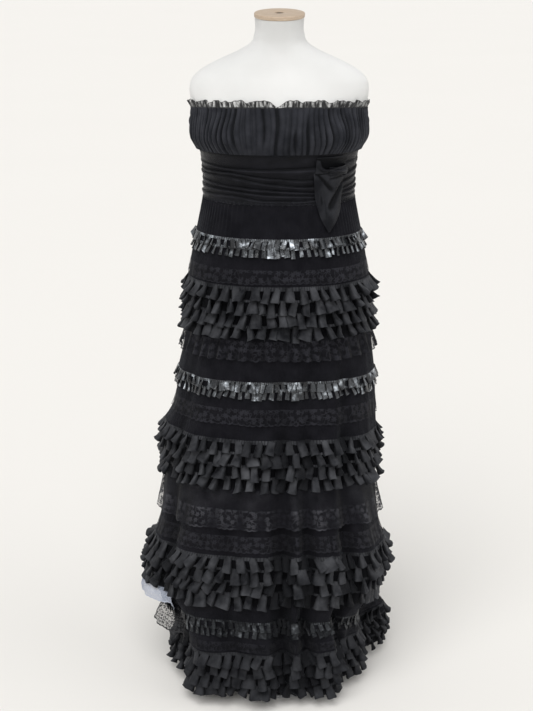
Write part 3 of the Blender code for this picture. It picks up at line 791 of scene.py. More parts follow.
def crushed_pleats(nodes, given, hung, place):
    """The hung pleats as one mesh, with painted shade and random tone, and slightly crushed towards
    their lower ends.
    """
    real = nodes.add("GeometryNodeRealizeInstances", {0: hung}).outputs[0]
    # Painted shade of the sides and of the skirt's folds, with the pleat's random tone, whichever is
    # darkest
    hollow = nodes.maths("MAXIMUM", nodes.kept("hollow"), nodes.kept("valley"))
    hollow = nodes.maths("MAXIMUM", hollow, nodes.kept("tone"))
    real = nodes.stored(real, "hollow", hollow)
    crush = nodes.add("ShaderNodeTexNoise", {"Vector": place, "Scale": 55.0, "Detail": 1.0})
    crush = nodes.vector("SUBTRACT", crush.outputs["Color"], (0.5, 0.5, 0.5))
    crush_by = {0: crush, "Scale": nodes.times(given["Crush"], nodes.kept("drop"))}
    crush = nodes.add("ShaderNodeVectorMath", crush_by, operation="SCALE").outputs[0]
    return nodes.add("GeometryNodeSetPosition", {"Geometry": real, "Offset": crush}).outputs[0]


def pleat_tree():
    """Pleats that hang side by side from the marked points of a strip's gathered head."""
    inputs = dict.fromkeys(("Width", "Height", "Swell", "Flick", "Lean", "Crush"), "Float")
    nodes, given = new_tree("pleats", inputs | {"Seed": "Int", "Material": "Material"})
    place = nodes.add("GeometryNodeInputPosition").outputs[0]
    hung = hung_pleats(nodes, given, bent_pleat(nodes, given, place))
    joined = nodes.add("GeometryNodeJoinGeometry")
    for part in (crushed_pleats(nodes, given, hung, place), given["Geometry"]):
        nodes.link(part, joined.inputs[0])
    soft = nodes.add("GeometryNodeSetShadeSmooth", {"Geometry": joined.outputs[0]}).outputs[0]
    finish = {"Geometry": soft, "Material": given["Material"]}
    finish = nodes.add("GeometryNodeSetMaterial", finish).outputs[0]
    nodes.add("NodeGroupOutput", {0: finish})
    return nodes.tree


# Finishes


class Finish(Nodes):
    """A material under way: its tree, its shader, and the ways into its patterns."""

    def __init__(self, name, **constants):
        self.made = bpy.data.materials.new(name)
        self.made.use_nodes = True
        super().__init__(self.made.node_tree)
        self.shader = self.tree.nodes["Principled BSDF"]
        self.wire(**constants)

    def wire(self, **inputs):
        """Sets or links the shader's inputs, named with underscores for spaces."""
        for key, value in inputs.items():
            self.link(value, self.shader.inputs[key.replace("_", " ")])
        return self.made

    def cloth(self):
        """Across and down the cloth, in metres."""
        return self.add("ShaderNodeUVMap", uv_map="cloth").outputs[0]

    def attribute(self, name):
        return self.add("ShaderNodeAttribute", attribute_name=name).outputs["Fac"]

    def lit(self):
        """The painted shade turned round: 1 on the folds and 0 deep between them."""
        return self.maths("SUBTRACT", 1.0, self.attribute("hollow"))

    def noise(self, scale, detail=3.0, stretch=None):
        """Noise in space, this many spots to a metre, and stretched along the axes."""
        where = self.add("ShaderNodeTexCoord").outputs["Object"]
        if stretch:
            where = self.add("ShaderNodeMapping", {"Vector": where, "Scale": stretch}).outputs[0]
        inputs = {"Vector": where, "Scale": scale, "Detail": detail}
        return self.add("ShaderNodeTexNoise", inputs).outputs["Fac"]

    def flat_noise(self, where, scale, detail):
        """Noise on the flat cloth, this many spots to a metre."""
        inputs = {"Vector": where, "Scale": scale, "Detail": detail}
        return self.add("ShaderNodeTexNoise", inputs, noise_dimensions="2D").outputs["Fac"]

    def cells(self, where, scale, randomness=1.0, feature="F1"):
        """A flat pattern of cells, this many to a metre."""
        inputs = {"Vector": where, "Scale": scale, "Randomness": randomness}
        settings = {"voronoi_dimensions": "2D", "feature": feature}
        return self.add("ShaderNodeTexVoronoi", inputs, **settings).outputs

    def between(self, share, low, high):
        """A noise's middle range spread from low to high."""
        inputs = {"Value": share, "From Min": 0.3, "From Max": 0.7, "To Min": low, "To Max": high}
        return self.add("ShaderNodeMapRange", inputs).outputs[0]

    def colour(self, share, first, second):
        """From the first colour, or an earlier mix, to the second one."""
        inputs = {"Factor": share, "A": first, "B": second}
        for key in "AB":
            if isinstance(inputs[key], tuple):
                inputs[key] = (*inputs[key], 1)
        return socket_of(self.add("ShaderNodeMix", inputs, data_type="RGBA").outputs, "Result")

    def bump(self, height, distance, strength=1.0, under=None):
        inputs = {"Height": height, "Distance": distance, "Strength": strength}
        if under is not None:
            inputs["Normal"] = under
        return self.add("ShaderNodeBump", inputs).outputs[0]

    def thread_waves(self, across, down):
        """Two waves that run with threads or stitches this far apart."""
        ways = self.parts(self.cloth())
        steps = zip("XY", (across, down))
        return [self.maths("SINE", self.times(ways[way], TURN / step)) for way, step in steps]


def woven(name, dark, light, rough, sheen, specular, threads, crease, crease_scale):
    """An opaque cloth: colour and roughness that vary, painted shade between its folds, small creases,
    and its weave.
    """
    cloth = Finish(name, Specular_IOR_Level=specular, Specular_Tint=COOL_SHINE)
    cloth.wire(Sheen_Weight=sheen, Sheen_Roughness=0.35, Sheen_Tint=COOL_SHEEN)
    lit = cloth.lit()
    # Random mottle, kept off where the painted shade is; the painted shade mixes the dark colour down to
    # its deep shade between the folds
    mottle = cloth.times(cloth.between(cloth.noise(34.0), 0, 1), lit)
    deep = tuple(DEEP_SHADE * part for part in dark)
    creases = cloth.noise(crease_scale, 4.0, (1.0, 1.0, 0.45))
    weave = cloth.times(*cloth.thread_waves(*threads))
    return cloth.wire(
        Base_Color=cloth.colour(mottle, cloth.colour(lit, deep, dark), light),
        Roughness=cloth.between(creases, *rough),
        Normal=cloth.bump(weave, WEAVE_DEPTH, 0.8, cloth.bump(creases, crease)),
    )


def lace_flowers(lace, uv, motif):
    """1 on flowers, this many to a metre, and on the stems between them."""
    flowers = lace.cells(uv, motif, 0.55)
    arm = lace.parts(lace.vector("SUBTRACT", uv, flowers["Position"]))
    petals = lace.maths("COSINE", lace.times(lace.maths("ARCTAN2", arm["Y"], arm["X"]), PETALS))
    reach = lace.maths("MULTIPLY_ADD", petals, 0.09, 0.30)
    flower = lace.maths("LESS_THAN", flowers["Distance"], reach)
    flower = lace.times(flower, lace.maths("GREATER_THAN", flowers["Distance"], 0.07))
    stems = lace.flat_noise(uv, motif * 0.9, 1.0)
    stems = lace.maths("ABSOLUTE", lace.maths("SUBTRACT", stems, 0.5))
    return lace.maths("MAXIMUM", flower, lace.maths("LESS_THAN", stems, 0.022))


def openwork(name, dark, light, rough, motif, ground, rim, lace_from=0.0):
    """A see-through cloth: a net ground with, where motif is set, lace flowers on it.

    motif is the number of flowers to a metre, ground how much the net covers, rim the
    share of the drop from which its lower edge is solid, and lace_from the share from
    which it has flowers.
    """
    lace = Finish(name, Specular_IOR_Level=0.12, Specular_Tint=COOL_SHINE, Sheen_Weight=0.05)
    uv = lace.cloth()
    net = lace.cells(uv, NET_CELLS, feature="DISTANCE_TO_EDGE")
    cover = lace.maths("LESS_THAN", net["Distance"], ground)
    height = cover
    if motif:
        height = lace_flowers(lace, uv, motif)
        if lace_from:
            begun = lace.maths("GREATER_THAN", lace.attribute("drop"), lace_from)
            height = lace.times(height, begun)
        cover = lace.maths("MAXIMUM", cover, height)
    edge = lace.maths("GREATER_THAN", lace.attribute("drop"), rim)
    raised = lace.maths("MAXIMUM", height, edge)
    mottle = lace.maths("MULTIPLY_ADD", raised, 0.25, lace.times(lace.noise(30.0), 0.75))
    mottle = lace.between(mottle, 0, 1)
    # The colour is painted darker by the painted shade between the folds
    return lace.wire(
        Base_Color=lace.colour(lace.times(mottle, lace.lit()), dark, light),
        Roughness=lace.add("ShaderNodeMapRange", {0: mottle, 3: rough[0], 4: rough[1]}).outputs[0],
        Alpha=lace.maths("MAXIMUM", cover, edge),
        Normal=lace.bump(raised, 0.0003),
    )


def organza():
    """The frill's crinkled sheer cloth, closed along its edge and its foot."""
    sheer = Finish("neckline_organza", Specular_IOR_Level=0.3, Sheen_Weight=0.1)
    inputs = {"Vector": sheer.cloth(), "Scale": (1.0, 0.25, 1.0)}
    crinkled = sheer.add("ShaderNodeMapping", inputs).outputs[0]
    folds = sheer.flat_noise(crinkled, 210.0, 3.0)
    edge = sheer.maths("GREATER_THAN", sheer.attribute("drop"), 0.90)
    foot = sheer.maths("LESS_THAN", sheer.attribute("drop"), 0.20)
    solid = sheer.times(sheer.maths("MAXIMUM", edge, foot), 0.9)
    shade = sheer.between(folds, 0, 1)
    return sheer.wire(
        Base_Color=sheer.colour(shade, (0.035, 0.035, 0.036), (0.006, 0.006, 0.007)),
        Roughness=sheer.between(folds, 0.40, 0.65),
        Alpha=sheer.maths("MAXIMUM", sheer.between(folds, -0.05, 1.40), solid),
        Normal=sheer.bump(folds, 0.0006),
    )


def crinkled(name, coat, bright, power, patches, whole):
    """A glossy crinkled cloth: dark, with painted highlights in bright patches placed by noise.

    bright is the painted highlights' brightness, power how little of the cloth is bright,
    patches how many there are to a metre, and whole the painted shine of a whole tab, which
    fades into the tab's painted shade.
    """
    shine = Finish(name, Metallic=0.3, Specular_IOR_Level=0.8 * coat)
    shine.wire(Coat_Weight=coat, Coat_Roughness=0.10)
    crinkle = shine.noise(170.0)
    # Painted highlights: noise patches and a painted shine on each tab, both kept off where the painted
    # shade is
    painted_glint = shine.between(shine.noise(patches, 4.0), 0, 1)
    painted_glint = shine.maths("POWER", painted_glint, power)
    shown = shine.lit()
    tab = shine.times(shine.maths("POWER", shown, 3.0), whole)
    painted_glint = shine.maths("MULTIPLY_ADD", painted_glint, shown, tab)
    lit = (0.95 * bright, 1.03 * bright, 1.12 * bright)
    return shine.wire(
        Base_Color=shine.colour(painted_glint, (0.008, 0.0085, 0.010), lit),
        Roughness=shine.between(crinkle, 0.16, 0.38),
        Normal=shine.bump(crinkle, 0.0022),
    )


def jersey():
    """The torso's fine knit cover, in rows of loops."""
    knit = Finish("form_jersey", Specular_IOR_Level=0.25, Sheen_Weight=0.35, Sheen_Roughness=0.5)
    tone = knit.noise(9.0)
    wale, course = knit.thread_waves(0.0011, 0.0008)
    loops = knit.maths("MULTIPLY_ADD", knit.times(wale, wale), course, wale)
    return knit.wire(
        Base_Color=knit.colour(knit.between(tone, 0, 1), (0.68, 0.68, 0.67), (0.74, 0.74, 0.73)),
        Roughness=knit.between(tone, 0.78, 0.92),
        Normal=knit.bump(loops, 0.00012, 0.7, knit.bump(tone, 0.0015)),
    )


def beech():
    """Turned wood with its grain along X."""
    wood = Finish("turned_beech", Specular_IOR_Level=0.4, Coat_Weight=0.15, Coat_Roughness=0.35)
    grain = wood.between(wood.noise(60.0, 6.0, (1.0, 9.0, 9.0)), 0, 1)
    fleck = wood.noise(420.0, 2.0, (1.0, 5.0, 5.0))
    return wood.wire(
        Base_Color=wood.colour(grain, (0.39, 0.29, 0.205), (0.54, 0.435, 0.33)),
        Roughness=wood.between(fleck, 0.42, 0.60),
        Normal=wood.bump(fleck, 0.0002, 0.6),
    )


def steel():
    """Steel brushed up and down, with faint smears."""
    metal = Finish("brushed_steel", Metallic=1.0)
    lines = metal.noise(300.0, 3.0, (1.0, 1.0, 0.06))
    smear = metal.noise(14.0)
    shade = metal.between(smear, 0, 1)
    return metal.wire(
        Base_Color=metal.colour(shade, (0.50, 0.51, 0.53), (0.62, 0.63, 0.65)),
        Roughness=metal.between(smear, 0.24, 0.38),
        Normal=metal.bump(lines, 0.0001, 0.5),
    )


def brass():
    """The cap's dark screw."""
    metal = Finish("blackened_brass", Metallic=1.0)
    tarnish = metal.noise(180.0)
    shade = metal.between(tarnish, 0, 1)
    return metal.wire(
        Base_Color=metal.colour(shade, (0.05, 0.045, 0.04), (0.14, 0.12, 0.09)),
        Roughness=metal.between(tarnish, 0.35, 0.55),
        Normal=metal.bump(tarnish, 0.0002),
    )


def make_finishes():
    """Every finish of the gown and its form, by name."""
    made = {
        "frill": organza(),
        "jersey": jersey(),
        "beech": beech(),
        "steel": steel(),
        "brass": brass(),
    }
    for make, table in ((woven, WOVEN), (openwork, OPENWORK), (crinkled, CRINKLED)):
        for finish, look in table.items():
            made[finish] = make(*look)
    return made


# Putting pieces on the frame


def wear(obj, finish, node=None):
    """Gives a piece its finish and its body, and hides the solid that it stands for."""
    if not obj.data.materials:
        obj.data.materials.append(finish)
    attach(obj, "root")
    if node:
        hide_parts(node)


def grid_piece(
    name, points, finish, slot, node, held="gathered", rests_on=ON_FORM, ring=False, **fields
):
    """Puts a piece of one grid on the frame.
    """
    obj = grid_object(name, points, ring, **fields)
    wear(obj, finish, node)


# The dress form


def make_torso(finishes):
    """The padded torso, with the slope of its neck."""
    # The rows are closer at the neck and the shoulders
    heights = np.linspace(FORM_TOP, 1.34, 60), np.linspace(1.33, FORM_UNDER, 60)
    heights = np.concatenate(heights)
    angle = np.linspace(0, TURN, 144, endpoint=False)
    points = form_surface(angle[None, :], heights[:, None], -0.5 * MM)
    tilt = NECK_TILT * np.clip((heights - NECK_BASE) / (FORM_TOP - NECK_BASE), 0, 1)
    points[..., 2] += tilt[:, None] * (points[..., 1] - CAP_CENTRE_Y)
    torso = grid_object("torso_cover", points, ring=True)
    with edited(torso) as shell:
        fill_holes(shell)
    torso.data.set_sharp_from_angle(angle=math.radians(60))
    wear(torso, finishes["jersey"], "form_torso")


def make_cap(finishes):
    """The turned cap on the neck, and the screw sunk in its middle."""
    middle = Vector((0, CAP_CENTRE_Y, FORM_TOP))
    slope = Matrix.Translation(middle) @ Matrix.Rotation(math.atan(NECK_TILT), 4, "X")
    top = SEAM_GAP + CAP_THICK
    profile = [(radius * MM, top - depth * MM) for radius, depth in CAP_FACE]
    profile += [
        (CAP_RADIUS - CAP_EDGE + CAP_EDGE * math.sin(a), top - CAP_EDGE + CAP_EDGE * math.cos(a))
        for a in np.linspace(0, math.pi / 2, 7)
    ]
    profile += [(CAP_RADIUS, SEAM_GAP + BEVEL), (CAP_RADIUS - BEVEL, SEAM_GAP), (AXIS, SEAM_GAP)]
    cap = turned_object("turned_cap", profile, place=slope)
    wear(cap, finishes["beech"], "neck_cap")
    screw = [(radius * MM, top - depth * MM) for radius, depth in CAP_SCREW]
    wear(turned_object("cap_screw", screw, 48, slope), finishes["brass"])


def make_stand(finishes):
    """The pole with its collar, and the round foot with its hub."""
    under = FORM_UNDER - SEAM_GAP
    cone = under - COLLAR_HEIGHT - COLLAR_RADIUS + POLE_RADIUS
    lowest = HUB_TOP + SEAM_GAP
    pole = [(AXIS, under), (COLLAR_RADIUS - BEVEL, under), (COLLAR_RADIUS, under - BEVEL)]
    pole += [(COLLAR_RADIUS, under - COLLAR_HEIGHT), (POLE_RADIUS + BEVEL, cone)]
    pole += [(POLE_RADIUS, cone - 2 * BEVEL), (POLE_RADIUS, lowest), (AXIS, lowest)]
    wear(turned_object("tube_pole", pole, 64), finishes["steel"], "stand_pole")
    foot = [(AXIS, HUB_TOP), (HUB_RADIUS - HUB_EDGE, HUB_TOP), (HUB_RADIUS, HUB_TOP - HUB_EDGE)]
    foot += [(HUB_RADIUS + 1 * MM, FOOT_CROWN + 3 * MM), (HUB_RADIUS + 4 * MM, FOOT_CROWN)]
    foot += [(FOOT_RADIUS - 6 * MM, FOOT_THICK), (FOOT_RADIUS - 2 * MM, FOOT_THICK - 1 * MM)]
    foot += [(FOOT_RADIUS, FOOT_THICK - 3 * MM), (FOOT_RADIUS, 0.0), (AXIS, 0.0)]
    wear(turned_object("disc_foot", foot, 128), finishes["steel"], "stand_foot")


# The gown's panels


def make_skirt(finishes):
    """The front and back skirt panels, with waist gathers, folds and a turned-up hem."""
    levels = np.linspace(SKIRT_TOP, 1.04, 22), np.linspace(1.032, SKIRT_HEM, 118)
    turned_up = [SKIRT_HEM + 1 * MM, SKIRT_HEM + HEM_TURNED_UP]
    rows = np.concatenate([*levels, turned_up])[:, None]
    outs = np.zeros(rows.shape)
    outs[-len(turned_up):, 0] = HEM_STAND_OFFS
    for name, start, end in (("front", -90, 90), ("back_left", 90, 180), ("back_right", 180, 270)):
        start, end = math.radians(start), math.radians(end)
        angle = panel_angles(start, end, round(SKIRT_COLUMNS * (end - start) / TURN))
        points = skirt_surface(angle, rows, outs - turned_in(angle, 1.5 * MM))
        # Painted shade in the long folds, and painted shadow where the tiers cover the skirt
        deep = 0.8 * valley(angle, np.maximum(rows, SKIRT_HEM))
        deep = np.maximum(deep, under_tiers(rows))
        panel, node = f"skirt_panel_{name}", f"skirt_{name}"
        grid_piece(panel, points, finishes["crepe"], "crepe", node, hollow=deep)


def over_skirt_edge(out, angle, share):
    """The stand-off of a waist piece, with its lower edge let out over the skirt's top."""
    edge = skirt_surface(angle, SKIRT_TOP) - form_surface(angle, SASH_BOTTOM)
    edge = np.hypot(edge[..., 0], edge[..., 1]) + 0.5 * MM
    return out + np.maximum(edge - out, 0) * np.clip((share - 0.9) / 0.1, 0, 1) ** 2


def bust_gathers(angle, share):
    """How deep the bust panel sinks between its gathers and in its creases, in mm."""
    bend = 0.012 * np.sin(5 * share + 7 * angle) + 0.05 * angle * share
    straight = angle - bend
    turns = BUST_GATHERS * straight + 0.55 * drifting(straight, 14, (4, 7, 12, 19))
    ridge = np.abs(np.cos(np.pi * turns)) ** 0.85
    loose = 0.5 + 0.5 * drifting(angle + 0.25 * share, 15, (5, 8, 11))
    sunk = (0.8 + 4.2 * loose) * (1 - ridge)
    count = LOOSE_CREASES
    places = np.linspace(-1.50, 1.50, count) + random_numbers(3, count, -0.03, 0.03)
    depths, widths = random_numbers(4, count, 1.5, 4.6), random_numbers(5, count, 0.013, 0.030)
    starts, ends = random_numbers(7, count, -0.8, 0.35), random_numbers(8, count, 0.7, 1.9)
    for place, deep, wide, start, end in zip(places, depths, widths, starts, ends):
        held = np.clip((share - start) / 0.3, 0, 1) * np.clip((end - share) / 0.3, 0, 1)
        away = straight - place
        crease = np.exp(-np.abs(away) / np.where(away > 0, 1.4 * wide, 0.6 * wide))
        sunk = sunk + deep * crease * held
    return sunk


def make_bust_panel(finishes):
    """The bodice's front, gathered into the side seams, the top edge and the sash."""
    angle = panel_angles(-np.pi / 2, np.pi / 2, 640)
    share = np.linspace(0, 1, 60)[:, None]
    top = neckline(angle)
    height = top + (SASH_TOP + SEAM_GAP - top) * share
    front, side = smooth(BODICE_ROWS, share + 0 * angle)
    out = (front + (side - front) * np.sin(angle) ** 2) * MM + 2.4 * MM
    # The gathers are flattened where the panel's two edges are sewn down
    hang = 0.15 + 0.85 * np.sin(np.pi * np.clip(share, 0.04, 0.96)) ** 0.7
    sunk = bust_gathers(angle, share)
    out = out - sunk * MM * hang
    seams = np.exp(-share / 0.05) + np.exp((share - 1) / 0.07)
    out = out + 0.7 * MM * np.sin(150 * angle + 3 * np.sin(11 * angle)) * seams
    out = np.maximum(out - turned_in(angle, 1.2 * MM), 0.6 * MM)
    points = form_surface(angle, height, out)
    # Painted shade in the gathers and creases
    deep = (sunk / 4.4) ** 1.3
    chiffon = finishes["chiffon"]
    grid_piece("gathered_bust_panel", points, chiffon, "chiffon", "bodice_front", hollow=deep)


def make_shirred_back(finishes):
    """The bodice's back, puffed between rows of elastic."""
    angle = panel_angles(np.pi / 2, 3 * np.pi / 2, 300)
    share = np.linspace(0, 1, 118)[:, None]
    top = neckline(angle)
    height = top + (SASH_BOTTOM - top) * share
    row = np.floor(share * SHIRR_ROWS)
    puff = np.abs(np.sin(np.pi * share * SHIRR_ROWS)) ** 0.55
    small = np.sin(64 * angle + 2.4 * np.sin(9 * angle + 2.1 * row) + 1.7 * row)
    beside = np.abs(np.sin(angle)) ** 8
    side_top = neckline(np.pi / 2)
    down = (side_top - height) / (side_top - SASH_TOP)
    shares, _, sides = zip(*BODICE_ROWS, (1.03, 0.0, 1.0))
    side = np.interp(down, shares, sides)
    out = 1.2 * MM + side * MM * beside + puff * (1.2 + 0.9 * small) * MM
    out = over_skirt_edge(out - turned_in(angle, 0.8 * MM), angle, share)
    points = form_surface(angle, height, out)
    # Painted shade between the puffs
    deep = 0.8 * (1 - puff)
    chiffon = finishes["chiffon"]
    grid_piece("shirred_back_panel", points, chiffon, "chiffon", "bodice_back", hollow=deep)


def make_neck_frill(finishes):
    """The narrow crinkled frill that stands on the bodice's top edge."""
    angle = np.linspace(-np.pi, np.pi, 760, endpoint=False)[None, :]
    share = np.linspace(1, 0, 9)[:, None]
    dip = 1 - 0.75 * bell(turn_between(angle, -0.03), 0.08)
    tall = FRILL_HEIGHT * 0.86 * (dip + 0.34 * drifting(angle, 21, (23, 37, 59, 83)))
    rise = SEAM_GAP - 1.5 * MM + (tall + 1.5 * MM) * share
    out = 2.2 * MM + share * 2.6 * MM * (1 + np.sin(8 * angle + 2 * np.sin(3 * angle)))
    out = out + share**0.6 * 1.7 * MM * np.sin(52 * angle + 4 * np.sin(7 * angle))
    points = form_surface(angle, neckline(angle) + rise, out)
    grid_piece(
        "crinkled_neck_frill", points, finishes["frill"], "net", "neckline_frill", ring=True,
        rests_on=["gathered_bust_panel", "shirred_back_panel"], drops=(1, 0),
    )


def make_sash(finishes):
    """The sash, ruched into laps that run from side seam to side seam."""
    angle = panel_angles(-np.pi / 2, np.pi / 2, 300)
    share = np.concatenate([[0.0], np.linspace(0, 1, 112)])[:, None]
    height = SASH_TOP + (SASH_BOTTOM - SASH_TOP) * share
    inside = turned_in(angle, 1.0 * MM) + np.zeros(share.shape)
    # The first row is the edge that reaches up behind the bust panel
    height[0] += 4 * MM
    inside[0] += 0.8 * MM
    # The laps are counted from the top in lines, and fold goes from 0 to 1 down each lap
    lines = 0.0
    above = 0 * angle
    for lap_line in SASH_LAPS:
        below = np.interp(angle, np.radians(SASH_LAP_ANGLES), lap_line)
        lines = lines + np.clip((share - above) / (below - above), 0, 1)
        above = below
    fold = lines - np.floor(np.minimum(lines, len(SASH_LAPS) - 1e-6))
    lap = np.sin(np.pi * fold**0.42) ** 0.85
    depth = 3.4 + 1.0 * np.sin(2.1 * np.floor(lines) + 2.7 * angle)
    depth = np.where(lines < 1, 0.9, depth)
    fine = 0.35 * np.sin(31 * share + 5 * angle + 2 * np.sin(3 * angle))
    out = (1.9 + (lap * depth + fine) * away_from_ends(share, 0.03)) * MM
    points = form_surface(angle, height, over_skirt_edge(out, angle, share) - inside)
    # Painted shade: deep in the creases between the laps and a lighter one over the laps, taken off by a
    # painted highlight along each lap's crest
    between = (np.exp(-fold / 0.10) + np.exp((fold - 1) / 0.06)) * away_from_ends(share, 0.04)
    painted_crest_highlight = np.exp(-(((fold - 0.20) / 0.09) ** 2)) * (lines > 1)
    painted_lap_shade = SASH_PAINTED_SHADE + between - SASH_PAINTED_SHADE * painted_crest_highlight
    satin = finishes["satin"]
    grid_piece("ruched_sash", points, satin, "satin", "sash_front", "stretched", hollow=painted_lap_shade)


# The bow


def bow_creases(across, up):
    """How deep the bow's tail is creased, in mm, at these places of its front view."""
    creased = 0.0
    for x0, z0, x1, z1, wide, deep in BOW_CREASES:
        run = np.hypot(x1 - x0, z1 - z0)
        from_start = across - x0, up - z0
        along = (from_start[0] * (x1 - x0) + from_start[1] * (z1 - z0)) / run**2
        beside = (from_start[0] * (z1 - z0) - from_start[1] * (x1 - x0)) / run
        wide = wide * np.clip(0.45 + 0.8 * along, 0.3, 1.2)
        held = np.clip((along + 0.12) / 0.2, 0, 1) * np.clip((1.12 - along) / 0.3, 0, 1)
        creased = creased + deep * held * np.exp(-((beside / wide) ** 2))
    return creased


def make_bow_tail(finishes):
    """The bow's pointed tail, arched from edge to edge."""
    share = np.linspace(0, 1, 66)[:, None]
    across = np.linspace(0, 1, 48)[None, :]
    top, low = BOW_TAIL[0][0], BOW_TAIL[-1][0]
    high = top + 6 * MM
    level = high + (low - high) * share
    left, right, edge, middle = smooth(BOW_TAIL, np.clip(level, low, top))
    angle = np.radians(left + (right - left) * across)
    out = edge + (middle - edge) * np.sin(np.pi * across) ** 0.8
    front_view = form_surface(angle, level + 0 * angle, out * MM) / MM
    creased = bow_creases(front_view[..., 0], level / MM)
    out = out - creased - 2.0 * bell(share, 0.10)
    points = form_surface(angle, level + 0 * angle, out * MM)
    # Painted shade in the creases
    grid_piece(
        "bow_tail_point", points, finishes["bow"], "satin", "bow_tail", "folded", ON_SASH,
        hollow=creased / 1.5,
    )


def make_bow_loop(finishes):
    """The bow's loop: down against the sash, turned under, and up again in front."""
    # Heights and stand-offs in mm, down the back, round the turn, and up the front
    down = np.linspace(0, 1, 26)
    back = [(1.2175 - 0.034 * t, BOW_LOOP_BACK) for t in down[:13:2]]
    turned = [
        (1.1825 - 0.0012 * math.sin(a), 7.5 - 1.7 * math.cos(a)) for a in np.linspace(0.2, 2.4, 5)
    ]
    front = [(1.1832 + 0.0235 * t, 9.0 + 8.5 * math.sin(1.75 * t)) for t in down[1:]]
    tall, swell = np.array(back + turned + front).T[:, :, None]
    row = np.arange(len(tall))[:, None]
    across = np.linspace(0, 1, 52)[None, :]
    arch = np.sin(np.pi * across) ** 0.7
    angle = np.radians(BOW_LOOP_LEFT + BOW_LOOP_WIDE * across)
    up_front = np.clip((row - len(back + turned)) / (len(front) - 1), 0, 1)
    lip = np.interp(across, *zip(*BOW_LOOP_LIP)) - front[-1][0]
    fold_line = np.exp(-(((up_front - 0.42) / 0.10) ** 2)) * np.clip(across * 8, 0, 1)
    out = BOW_LOOP_BACK + (swell - BOW_LOOP_BACK) * arch - 1.5 * fold_line * arch
    points = form_surface(angle, tall + lip * up_front, out * MM)
    # Painted shade: the loop's back is painted dark, all but its first row, and its front along the fold
    # line
    inside = np.where(row == 0, 0.1, 1.0)
    grid_piece(
        "bow_open_loop", points, finishes["bow"], "satin", "bow_loop", "folded", ON_SASH,
        hollow=np.where(up_front > 0, fold_line, inside),
    )


def make_bow_band(finishes):
    """The grooved band that is wrapped round the bow's loop."""
    along = np.linspace(0, TURN, 40, endpoint=False)[None, :]
    across = np.linspace(0, 1, 24)[:, None]
    angle = np.radians(BAND_LEFT + BAND_WIDE * across)
    half = 7.0 * MM + 0.8 * MM * np.cos(TURN * across)
    tall = BAND_HEIGHT + half * np.cos(along) - 2.5 * MM * across
    out = 11.5 + 6.0 * np.sin(along) * np.sin(np.pi * (0.12 + 0.8 * across)) + 0.8 * np.sin(5 * along)
    points = form_surface(angle, tall, out * MM)
    # Painted shade where the band dips in
    painted_groove_shade = np.clip(-np.sin(5 * along) - 0.2, 0, 1)
    band = grid_object("bow_wrapped_band", points, ring=True, hollow=painted_groove_shade)
    with edited(band) as shell:
        fill_holes(shell)
        bmesh.ops.recalc_face_normals(shell, faces=shell.faces)
    wear(band, finishes["bow"])


# Ruffles, frills and lace


def even_angles(level, count, turn=0.0):
    """Angles that step evenly along the skirt at this level, and its length round."""
    fine = np.linspace(-np.pi, np.pi, 2881)
    along = lengths(skirt_surface(fine, level)[None], 1)[0]
    steps = (np.arange(count) + turn) / count * along[-1]
    return np.interp(steps, along, fine), along[-1]


def hanging_way(top, low, height):
    """The way up each pleat from its lower end, kept from leaning too far, and the way out."""
    upward = top - low
    outward = top * np.array([1, 1, 0])
    radial = outward / np.linalg.norm(outward, axis=1)[:, None]
    sideways = np.stack([-radial[:, 1], radial[:, 0]], axis=1)
    inwards = np.clip((upward * radial).sum(axis=1), -LEAN_OUT * height, LEAN_IN * height)
    along = np.clip((upward[:, :2] * sideways).sum(axis=1), -LEAN_ASIDE * height, LEAN_ASIDE * height)
    upward[:, :2] = inwards[:, None] * radial[:, :2] + along[:, None] * sideways
    return upward, outward


def strip_of_pleats(name, tree, level, height, count, turn, settings, outs, head, per, shade=0.0):
    """A strip with a pin-gathered head on the skirt and loose pleats that hang from it.

    outs is how far the pleats' lower ends stand off the skirt, as a function of the
    angle, and head the height of the gathers. A pleat hangs from every per-th column
    of the head, and neighbours lean the same way. shade is a painted shade over the whole
    strip, which also draws the pleats' lower ends in.
    """
    seed = settings["Seed"]
    angle, round_it = even_angles(level, count * per, turn * per)
    angle = angle + STEP_WANDER * drifting(angle, seed + 500, (6, 9, 14, 19))
    rows = np.array([0.0, 0.3, 0.65, 1.0])[:, None]
    # Every other column stands out, as a pin gather
    odd = np.arange(count * per) % 2
    head_out = LIFT + rows * MM + PIN_RISE * odd * (0.4 + 0.6 * rows)
    points = skirt_surface(angle[None, :], level - rows * head, head_out)
    # Painted shade in the skirt's long folds and over the whole strip, which also draws the lower ends
    # in; the standing-out columns of the head are painted darker
    deep = np.maximum(0.95 * valley(angle, level), shade)
    obj = grid_object(name, points, ring=True, hollow=np.maximum(deep, odd * 0.8))
    lean = SHARED_LEAN * height * drifting(angle, seed + 300, (4, 7, 11, 17))
    low = skirt_surface(angle + lean, level - height, outs(angle) * (1 - 0.5 * deep))
    upward, outward = hanging_way(points[1], low, height)
    seat = np.zeros(points.shape[:2], bool)
    seat[1, ::per] = True
    keep_values(obj.data, "upward", np.broadcast_to(upward, points.shape), "FLOAT_VECTOR")
    keep_values(obj.data, "outward", np.broadcast_to(outward, points.shape), "FLOAT_VECTOR")
    keep_values(obj.data, "seat", seat, "BOOLEAN")
    # The painted shade again, for the pleats
    keep_values(obj.data, "valley", np.broadcast_to(deep, points.shape[:2]))
    run_tree(obj, tree, {"Width": round_it / count * PLEAT_FILL, "Height": height, **settings})
    for label in ("upward", "outward", "seat", "valley", "tone"):
        if label in obj.data.attributes:
            obj.data.attributes.remove(obj.data.attributes[label])
    return obj


